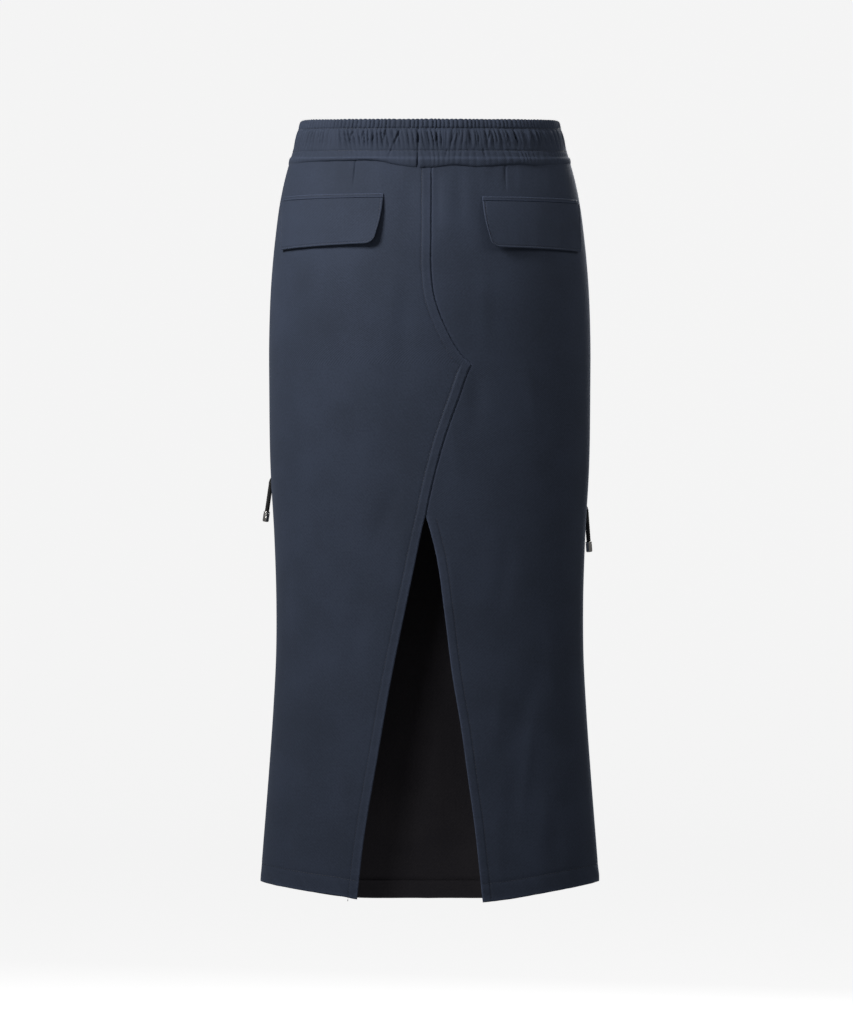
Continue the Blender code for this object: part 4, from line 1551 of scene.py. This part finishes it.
    def pleated(self, angle: Array, below: Array) -> Array:
        """How far the deep pleats move the cloth.

        Args:
            angle: Angles round the skirt.
            below: Heights below the band's top edge.

        Returns:
            The rise.
        """
        along = self.way_round(angle)
        total = np.zeros(np.broadcast(angle, below).shape)
        for face, pleats in PLEATS.items():
            for pleat in pleats:
                ends = FORM.angle_at(np.array([pleat.aside, pleat.to_aside]), BAND_MIDDLE)
                if face is Face.FRONT:
                    ends = np.where(ends > 0, 180 - ends, -180 - ends)
                start, stop = self.way_round(ends)
                share = (below - pleat.top) / (pleat.foot - pleat.top)
                window = eased(share / 0.22) * eased((1 - share) / 0.30)
                away = (along - start - (stop - start) * share) / pleat.width
                shape = bell(away) - 0.45 * bell((away + 1.9) / 1.2)
                total -= self.pleat_share * pleat.depth * shape * window
        return total

    def join(self, angle: Array) -> Array:
        """The seam where the band's two ends meet, near the middle of the back."""
        away = self.way_round(angle) - self.way_round(FORM.angle_at(self.join_aside, BAND_MIDDLE))
        lap = self.join_rise * eased(away / 0.001) * eased((self.join_lap - away) / 0.004)
        return lap - self.join_depth * bell(away / self.join_width)

    def flattened(self, angle: Array) -> Array:
        """How much the gathers are pulled flat, from 0 to 1 at the sides."""
        return np.abs(np.sin(np.radians(angle))) ** self.side_reach

    def face(self, angle: Array, height: float) -> Array:
        """Points on the band's outer face above its rolled lower edge.

        Args:
            angle: Angles round the skirt.
            height: The height below the band's top edge.

        Returns:
            The points.
        """
        flat, below = self.flattened(angle), np.full_like(angle, height)
        gathered = self.gathered(angle, below)
        rise = (self.base(below) + self.depth(below) * gathered) * (1 - 0.62 * flat)
        rise = rise - 0.0010 * flat + self.pleated(angle, below) + self.join(angle)
        frill = 0.0009 * gathered + 0.0015 - 0.0026 * flat**6
        drop = FORM.waist_top(angle) + below - frill * eased(1 - below / self.frill_reach)
        return FORM.point(angle, drop, np.maximum(rise, self.least_rise))

    def build(self) -> bpy.types.Object:
        """Makes the band with its stitches.

        Returns:
            The band's object.
        """
        angle = self.angles[None, :]
        top, seam = FORM.waist_top(angle), FORM.waist_seam(angle)
        rings = [self.face(angle, below) for below in self.rows_down]
        at_foot, at_middle = self.roll_softness
        gathers = self.gathered(angle, np.full_like(angle, self.fixed_height))
        for share, rise in self.roll:
            drop = top + self.fixed_height + (seam - top - self.fixed_height) * share
            soft = gathers * (1 - share) * (at_foot + at_middle * share)
            shaped = (rise + soft) * (1 - 0.6 * self.flattened(angle)) + 1.6 * self.join(angle)
            rings.append(FORM.point(angle, drop, np.maximum(shaped, self.least_rise)))
        crests = self.crests(self.way_round(angle) / self.girth, self.gathers, 0.0)
        for row, (below, rise) in enumerate(self.lining):
            drop = np.minimum(top + below, seam - SEAM_GAP) if row else seam - SEAM_GAP
            soft = self.lining_softness * crests * math.sin(math.pi * min(below / self.lining_foot, 1.0))
            rings.append(FORM.point(angle, drop, rise + soft))
        points = np.concatenate([*rings, rings[0]])
        wear = np.zeros(points.shape[:2])
        wear[:2] = wear[-1:] = self.edge_wear
        first = len(self.rows_down)
        # The first rows of the roll, its ridge, take the worn colour: rubbing and a painted highlight.
        wear[first : first + 3] = self.roll_wear_and_highlight
        shape = cloth_shape(points, self.flat_places(points), wear)
        piece = finished_object("skirt_waistband", shape, [self.finishes.band], 70)
        thread = Stitching("thread_waistband", self.finishes.thread)
        fine = np.linspace(-180, 180, self.stitch_steps)
        for below in self.stitch_rows:
            thread.sew(self.face(fine, below), FORM.outward(fine, below))
        rests_on = ["front", "back_left", "back_right"]
        sewn = [thread.build()]
        declare_cloth(piece, "waistband", "gathered_band", self.flat, "gathered", rests_on, None, sewn)
        return piece

    def flat_places(self, points: Array) -> Array:
        """The cloth's own coordinates, with the length that the gathers take up spread evenly.

        Args:
            points: The band's points, by ring and column.

        Returns:
            The coordinates, in metres.
        """
        along = np.broadcast_to(self.along * self.gathered_length, points.shape[:2])
        steps = np.linalg.norm(np.diff(points, axis=0), axis=-1).mean(axis=1)
        down = np.concatenate([[0], np.cumsum(steps)])[:, None]
        return np.stack([along, -np.broadcast_to(down, points.shape[:2])], axis=-1)


@dataclass(frozen=True)
class FlapCut:
    """Where a pocket flap's ends, top and foot lie."""

    side: Side
    top_aside: float
    foot_aside: float
    top: float
    foot: float
    outer_top: float
    outer_foot: float
    top_angle: float
    foot_angle: float

    def angle(self, share: Any) -> Array:
        """The angle of a place along the flap's top, by its share from the inner end."""
        inner = FORM.angle_at(self.top_aside, self.top)
        return inner + (self.top_angle - inner) * share


FLAPS = [
    FlapCut(Side.LEFT, -0.0502, -0.0575, 0.0915, 0.1412, 0.0900, 0.1448, -75.5, -68.5),
    FlapCut(Side.RIGHT, 0.0566, 0.0640, 0.0950, 0.1455, 0.0932, 0.1465, 77.0, 70.0),
]


def from_ends(offsets: Sequence[float], length: float, spacing: float) -> Array:
    """Shares along a length, close together at both ends.

    Args:
        offsets: Distances from an end, in rising order.
        length: The whole length.
        spacing: The distance between the other shares.

    Returns:
        The shares, from 0 to 1.
    """
    near = np.array(offsets) / length
    plain = np.array(evenly(near[-1], 1 - near[-1], spacing / length))
    return np.concatenate([near, plain, 1 - near[-2::-1]])


class PocketPiece:
    """What a pocket's flap and its welt share."""

    cut: FlapCut
    finishes: Finishes
    height: float
    thickness: float

    def point(self, share: Array, down: Array, rise: Any) -> Array:
        """Points of the piece, by the shares along and down it and the rise from its inner face."""
        raise NotImplementedError

    def layered(
        self, name: str, share: Array, down: Array, away: Array, relief: Any, wear: Array
    ) -> bpy.types.Object:
        """Makes the piece of two faces with rounded edges.

        Args:
            name: The piece's name, without its side.
            share: How far along the piece, from its inner end.
            down: How far down the piece.
            away: Distances from the nearest edge.
            relief: How far the outer face stands from a plain one.
            wear: How rubbed the cloth is.

        Returns:
            The object.
        """
        half = self.thickness / 2
        sunk = edge_round(away, half)
        outer = self.point(share, down, np.where(away == 0, half, self.thickness + relief - sunk))
        inner = self.point(share, down, sunk)
        shape = cloth_shape(outer, cloth_lengths(outer, down * self.height), wear, inner)
        return finished_object(f"{name}_{self.cut.side.value}", shape, [self.finishes.twill] * 2)


@dataclass
class PocketFlap(PocketPiece):
    """A flap of two layers, sewn along its top and standing off at its inner corner."""

    cut: FlapCut
    finishes: Finishes
    flat: tuple[float, float] = (0.142, 0.055)
    height: float = 0.0515
    thickness: float = 0.0020
    corner_radius: float = 0.011
    bow: float = 0.0014
    column_spacing: float = 0.0022
    relief_height: float = 0.00035
    puff: tuple[float, float] = (0.0011, 0.0010)
    stitch_width: float = 0.0005
    wear: float = 0.35
    wear_reach: float = 0.0014
    seam_share: float = 0.03
    out_drop: float = 0.12
    stitch_steps: int = 600
    corner_lift: float = 0.0042
    foot_lift: float = 0.0014
    topstitch: float = 0.0024
    wave: Waves = ((21, 0.4, 0.00016), (34, 1.2, 0.00012), (52, 2.0, 0.00007))
    edge_offsets: tuple[float, ...] = (
        0.0, 0.0001, 0.0003, 0.0006, 0.0010, 0.0014, 0.0018, 0.0021, 0.0024, 0.0027, 0.0031,
        0.0037, 0.0046, 0.0060, 0.0075, 0.0090,
    )

    def point(self, share: Array, down: Array, rise: Any) -> Array:
        """Points of the flap, by the shares along and down it and the rise from its inner face.

        Args:
            share: How far along the piece, from its inner end.
            down: How far down it.
            rise: How far out from its inner face.

        Returns:
            The points.
        """
        cut, radius = self.cut, self.corner_radius
        top = cut.top + (cut.outer_top - cut.top) * share
        foot = cut.foot + (cut.outer_foot - cut.foot) * share
        from_end = np.minimum(share * POCKET_LENGTH, radius)
        short = radius - np.sqrt(radius**2 - (radius - from_end) ** 2)
        drop = top + (foot - short - top) * down
        bowed = -cut.side.hand * self.bow * np.sin(math.pi * down)
        inner = FORM.angle_at(cut.top_aside + (cut.foot_aside - cut.top_aside) * down + bowed, drop)
        outer = cut.top_angle + (cut.foot_angle - cut.top_angle) * down
        lift = POCKET_CLEARANCE + self.foot_lift * down + self.corner_lift * down * (1 - share) ** 4
        return FORM.point(inner + (outer - inner) * share, drop, lift + rise)

    def relief(self, share: Array, down: Array) -> Array:
        """The puffed edge outside the topstitch, its groove, and a slight wave.

        Args:
            share: How far along the piece, from its inner end.
            down: How far down it.

        Returns:
            The rise at each place.
        """
        away = self.from_edge(share, down)
        from_edge, width = self.puff
        ridge = bell((away - from_edge) / width) - bell((away - self.topstitch) / self.stitch_width)
        return self.relief_height * ridge + sines(share * POCKET_LENGTH, self.wave) * down

    def from_edge(self, share: Array, down: Array) -> Array:
        """The distance from the flap's inner end, foot or outer end, whichever is nearest."""
        return np.minimum(np.minimum(share, 1 - share) * POCKET_LENGTH, (1 - down) * self.height)

    def build(self) -> bpy.types.Object:
        """Makes the flap with its stitches.

        Returns:
            The flap's object.
        """
        share = from_ends(self.edge_offsets, POCKET_LENGTH, self.column_spacing)[None, :]
        down = from_ends(self.edge_offsets, self.height, self.column_spacing)[:, None]
        away, relief = self.from_edge(share, down), self.relief(share, down)
        wear = self.wear * np.exp(-away / self.wear_reach)
        piece = self.layered("skirt_flap", share, down, away, relief, wear)
        side = self.cut.side.value
        rests_on = [f"back_{side}", f"welt_{side}"]
        declare_cloth(piece, f"flap_{side}", "navy_twill", self.flat, "hung", rests_on, None, [self.sew()])
        return piece

    def sew(self) -> bpy.types.Object:
        """Makes the stitching inside the flap's free edges.

        Returns:
            The stitches' object.
        """
        thread = Stitching(f"thread_flap_{self.cut.side.value}", self.finishes.thread)
        inset, foot = self.topstitch / POCKET_LENGTH, 1 - self.topstitch / self.height
        start = self.seam_share
        corners = np.array([(inset, start), (inset, foot), (1 - inset, foot), (1 - inset, start)])
        steps = np.linspace(0, len(corners) - 1, self.stitch_steps)
        along, down = (np.interp(steps, range(len(corners)), column) for column in corners.T)
        path = self.point(along, down, self.thickness + self.relief(along, down))
        thread.sew(path, FORM.outward(self.cut.angle(along), self.out_drop))
        return thread.build()


@dataclass
class PocketWelt(PocketPiece):
    """The narrow strip that the top of a flap comes out from under."""

    cut: FlapCut
    finishes: Finishes
    flat: tuple[float, float] = (0.142, 0.010)
    area: float = 0.00070
    height: float = 0.0045
    thickness: float = 0.0012
    column_spacing: float = 0.0025
    row_spacing: float = 0.0006
    wear_reach: float = 0.0008
    stitch_share: float = 0.3
    out_drop: float = 0.09
    edge_offsets: tuple[float, ...] = (0.0, 0.0001, 0.0003, 0.0006, 0.0010)

    def point(self, share: Array, down: Array, rise: Any) -> Array:
        """Points of the welt, by the shares along and down it and the rise from its inner face.

        Args:
            share: How far along the piece, from its inner end.
            down: How far down it.
            rise: How far out from its inner face.

        Returns:
            The points.
        """
        cut = self.cut
        drop = cut.top + (cut.outer_top - cut.top) * share - SEAM_GAP - self.height * (1 - down)
        inner = FORM.angle_at(cut.top_aside, drop)
        return FORM.point(inner + (cut.top_angle - inner) * share, drop, POCKET_CLEARANCE + rise)

    def build(self) -> bpy.types.Object:
        """Makes the welt with its stitches.

        Returns:
            The welt's object.
        """
        share = from_ends(self.edge_offsets, POCKET_LENGTH, self.column_spacing)[None, :]
        down = from_ends(self.edge_offsets, self.height, self.row_spacing)[:, None]
        from_end = np.minimum(share, 1 - share) * POCKET_LENGTH
        away = np.minimum(from_end, np.minimum(down, 1 - down) * self.height)
        wear = np.exp(-away / self.wear_reach)
        piece = self.layered("skirt_welt", share, down, away, 0.0, wear)
        side = self.cut.side.value
        thread = Stitching(f"thread_welt_{side}", self.finishes.thread, width=0.0006, height=0.0005)
        along = np.linspace(0.01, 0.99, 400)
        path = self.point(along, np.full_like(along, self.stitch_share), self.thickness)
        thread.sew(path, FORM.outward(self.cut.angle(along), self.out_drop))
        rests_on, sewn = [f"back_{side}"], [thread.build()]
        declare_cloth(piece, f"welt_{side}", "navy_twill", self.flat, "laid", rests_on, self.area, sewn)
        return piece


@dataclass
class Drawcord:
    """One free end of a braided drawcord, with its metal tip and the eyelet that it comes out of."""

    side: Side
    angle: float
    drop: float
    hang: float
    lean: float
    finishes: Finishes
    diameter: float = 0.005
    bend_radius: float = 0.0105
    straight: float = 0.003
    clearance: float = 0.0004
    tip_length: float = 0.0105
    tip_radius: float = 0.0036
    tip_lap: float = 0.0006
    eyelet_outer: float = 0.0065
    eyelet_hole: float = 0.0031
    eyelet_height: float = 0.0018
    eyelet_rim: float = 0.0003
    strands: int = 8
    strand_lay: float = 0.0062
    strand_relief: float = 0.00028
    ring_spacing: float = 0.0006
    ring_points: int = 32
    end_share: float = 0.35

    def __post_init__(self) -> None:
        """Finds where the cord comes out of the cloth, and which way."""
        self.outward = Vector(FORM.outward(self.angle, self.drop))
        self.start = Vector(FORM.point(self.angle, self.drop, self.clearance))

    def route(self) -> list[Vector]:
        """The cord's middle line: out of the eyelet, over in one bend and down.

        Returns:
            The line's own points.
        """
        down = Vector((0, 0, -1))
        points = [self.start, self.start + self.outward * self.straight]
        for turned in (15, 30, 45, 60, 75, 90):
            bend = math.radians(turned)
            step = self.outward * math.sin(bend) + down * (1 - math.cos(bend))
            points.append(points[1] + step * self.bend_radius)
        foot = points[-1]
        for share in (0.25, 0.5, 0.75, 1.0):
            points.append(foot + down * self.hang * share + self.outward * self.lean * share)
        return points

    def smooth_route(self, spacing: float) -> Array:
        """Evenly spaced points of a smooth curve through the route's own points.

        Args:
            spacing: About how far apart they are.

        Returns:
            The points.
        """
        points = np.array(self.route())
        along = distances(points)
        return smooth(np.linspace(0, along[-1], round(along[-1] / spacing) + 1), along, points)

    def braid(self) -> bpy.types.Object:
        """Makes the cord as a braided tube.

        Returns:
            The cord's object.
        """
        path = self.smooth_route(self.ring_spacing)
        tangent = np.gradient(path, axis=0)
        tangent /= np.linalg.norm(tangent, axis=1, keepdims=True)
        sideways = np.cross(self.outward, (0, 0, 1.0))
        over = np.cross(tangent, sideways)[:, None]
        around = np.linspace(0, math.tau, self.ring_points + 1)
        along = np.arange(len(path))[:, None] * self.ring_spacing
        lay = math.tau * along / self.strand_lay
        strands = [np.cos(self.strands / 2 * (around + turned)) for turned in (lay, -lay)]
        radius = self.diameter / 2 - self.strand_relief + self.strand_relief * np.maximum(*strands)
        radius[0] = radius[-1] = self.diameter * self.end_share
        ring = np.cos(around)[None, :, None] * sideways + np.sin(around)[None, :, None] * over
        points = path[:, None] + radius[..., None] * ring
        uv = np.stack(np.broadcast_arrays(around * self.diameter / 2, along), axis=-1)
        shape = cloth_shape(points, uv, np.zeros(points.shape[:2]))
        bmesh.ops.holes_fill(shape, edges=shape.edges[:])
        return finished_object(f"drawcord_{self.side.value}", shape, [self.finishes.cord], 80)

    def turned(
        self, name: str, profile: Sequence[tuple[float, float]], foot: Vector, axis: Vector
    ) -> bpy.types.Object:
        """Makes a turned metal piece.

        Args:
            name: The piece's name, without its side.
            profile: Its closed outline, as radii and heights.
            foot: Where its foot goes.
            axis: The direction from its foot to its top.

        Returns:
            The object.
        """
        shape = spun(profile, steps=48, closed=True)
        place = Matrix.Translation(foot) @ axis.to_track_quat("Z", "Y").to_matrix().to_4x4()
        bmesh.ops.transform(shape, matrix=place, verts=shape.verts[:])
        made = finished_object(f"{name}_{self.side.value}", shape, [self.finishes.nickel], 35)
        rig.slot(made, "nickel")
        return made

    def tip(self) -> bpy.types.Object:
        """Makes the metal cord end: a closed sleeve with a rolled mouth and a rounded nose.

        Returns:
            The tip's object.
        """
        route = self.route()
        along = (route[-1] - route[-2]).normalized()
        radius, length = self.tip_radius, self.tip_length + SEAM_GAP + self.tip_lap
        mouth = [(0.0, 0.0012), (0.0024, 0.0012), (0.0026, 0.0004), (0.0029, 0.0)]
        sleeve = [
            (0.0002, 0.0001), (0.0, 0.0004), (0.0, 0.0010), (0.0003, 0.0014), (0.0003, 0.0022),
            (0.0001, 0.0026),
        ]
        nose = [(0.0001, 0.0012), (0.0004, 0.0005), (0.0010, 0.0001), (0.0018, 0.0), (radius, 0.0)]
        profile = mouth + [(radius - inside, height) for inside, height in sleeve]
        profile += [(radius - inside, length - below) for inside, below in nose]
        made = self.turned("drawcord_tip", profile, route[-1] - along * self.tip_lap, along)
        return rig.replaces(made, f"tip_{self.side.value}")

    def eyelet(self) -> bpy.types.Object:
        """Makes the metal eyelet, a domed ring with a rolled hole.

        Returns:
            The eyelet's object.
        """
        middle = (self.eyelet_outer + self.eyelet_hole) / 2
        half = (self.eyelet_outer - self.eyelet_hole) / 2
        dome = self.eyelet_height - self.eyelet_rim
        profile = [(middle - half, 0.0)]
        for turned in np.linspace(math.pi, 0, 11):
            height = self.eyelet_rim + dome * abs(math.sin(turned)) ** 0.8
            profile.append((middle + half * math.cos(turned), height))
        profile.append((middle + half, 0.0))
        made = self.turned("drawcord_eyelet", profile, self.start, self.outward)
        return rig.replaces(made, f"eyelet_{self.side.value}")

    def build(self) -> bpy.types.Object:
        """Makes the cord, its tip and its eyelet.

        Returns:
            The cord's object.
        """
        cord = self.braid()
        self.eyelet()
        tip = self.tip()
        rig.replaces(cord, f"cord_{self.side.value}")
        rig.slot(cord, "black_cord")
        path = self.smooth_route(2 * self.ring_spacing)
        length = float(distances(path)[-1])
        log.info("%s: %.1f mm of cord", cord.name, length * 1000)
        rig.cord(
            cord, exit=path[0], length=round(length, 4), diameter=self.diameter, far_end="fitting",
            stiffness="limp", lay="hanging", path=path, with_pieces=[tip],
        )
        return cord


def placed(
    name: str, data: Any, place: Sequence[float] = (0, 0, 0), turn: Sequence[float] = (0, 0, 0)
) -> bpy.types.Object:
    """Puts an object of the studio in the scene.

    Args:
        name: The object's name.
        data: What it shows.
        place: Where it goes.
        turn: How it is turned.

    Returns:
        The object.
    """
    made = bpy.data.objects.new(name, data)
    made.location = place
    made.rotation_euler = turn
    bpy.context.scene.collection.objects.link(made)
    return made


@dataclass(frozen=True)
class SoftBox:
    """A studio light: a lit square of cloth."""

    name: str
    place: tuple[float, float, float]
    aim: tuple[float, float, float]
    size: float
    power: float

    def build(self) -> bpy.types.Object:
        """Makes the light, turned to what it lights.

        Returns:
            The light's object.
        """
        data = bpy.data.lights.new(self.name, "AREA")
        data.shape = "SQUARE"
        data.size = self.size
        data.energy = self.power
        turn = (Vector(self.aim) - Vector(self.place)).to_track_quat("-Z", "Y").to_euler()
        made = placed(self.name, data, self.place, turn)
        made.visible_camera = False
        return made


@dataclass
class Studio:
    """Plain paper all round, soft light from the upper left, and the camera."""

    floor_z: float = -1.25
    radius: float = 8.0
    curve: float = 1.8
    height: float = 4.0
    world_light: float = 0.12
    lights: tuple[SoftBox, ...] = (
        SoftBox("key", (-0.88, -0.80, 0.60), (-0.05, -0.08, -0.04), 0.45, 21.0),
        SoftBox("fill", (1.15, -0.55, 0.55), (0.12, 0.0, -0.12), 0.50, 3.8),
        SoftBox("front", (0.6, 1.85, 0.7), (0.0, 0.1, -0.35), 0.90, 42.0),
        SoftBox("floor", (-0.05, -0.30, -1.20), (0.0, 0.05, -0.45), 0.70, 0.18),
        SoftBox("slit", (-0.52, -2.00, -0.50), (0.0, 0.0, -0.62), 0.30, 3.6),
    )
    camera_place: tuple[float, float, float] = (-0.003657, -5.0, -0.40826)
    lens: float = 158.59

    def build(self) -> None:
        """Makes the paper, the lights and the camera."""
        self.paper()
        for light in self.lights:
            light.build()
        scene = bpy.context.scene
        scene.world = bpy.data.worlds.new("studio")
        scene.world.use_nodes = True
        background = scene.world.node_tree.nodes["Background"]
        background.inputs["Color"].default_value = (1, 1, 1, 1)
        background.inputs["Strength"].default_value = self.world_light
        data = bpy.data.cameras.new("camera")
        data.sensor_width = 36.0
        data.lens = self.lens
        data.clip_start, data.clip_end = 0.1, 60.0
        scene.camera = placed("camera", data, self.camera_place, (math.radians(90), 0, 0))
        scene.view_settings.view_transform = "Standard"

    def paper(self) -> bpy.types.Object:
        """Makes the floor, which curves up into a wall all round.

        Returns:
            The paper's object.
        """
        flat = self.radius - self.curve
        profile = [(0.0, self.floor_z), (flat, self.floor_z)]
        for turned in np.radians(np.linspace(0, 90, 9)[1:]):
            rise = self.curve * (1 - math.cos(turned))
            profile.append((flat + self.curve * math.sin(turned), self.floor_z + rise))
        profile.append((self.radius, self.height))
        shape = spun(profile, steps=72, closed=False)
        data = bpy.data.meshes.new("paper")
        shape.to_mesh(data)
        shape.free()
        data.shade_smooth()
        data.materials.append(PaperFinish().make())
        made = placed("paper", data)
        # The paper's own light is kept off the skirt, which the soft boxes and the world light.
        made.visible_diffuse = False
        made.visible_glossy = False
        made.visible_shadow = False
        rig.stage(made)
        return made


def main() -> None:
    """Builds the studio and the skirt, piece by piece."""
    logging.basicConfig(level=logging.INFO, format="%(name)s %(relativeCreated)d ms: %(message)s")
    Studio().build()
    finishes = make_finishes()
    Drawcord(Side.LEFT, -109.7, 0.3915, 0.0304, 0.0052, finishes).build()
    Drawcord(Side.RIGHT, 110.4, 0.4222, 0.0335, 0.0029, finishes).build()
    Waistband(finishes).build()
    FrontPanel(finishes).build()
    for side in Side:
        BackPanel(side, finishes).build()
    for cut in FLAPS:
        PocketFlap(cut, finishes).build()
        PocketWelt(cut, finishes).build()
    boxes = {"cad": CAD_BOX, "visual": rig.bounds()}
    with open("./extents.json", "w") as file:
        json.dump({name: [list(corner) for corner in box] for name, box in boxes.items()}, file)


if __name__ == "__main__":
    main()
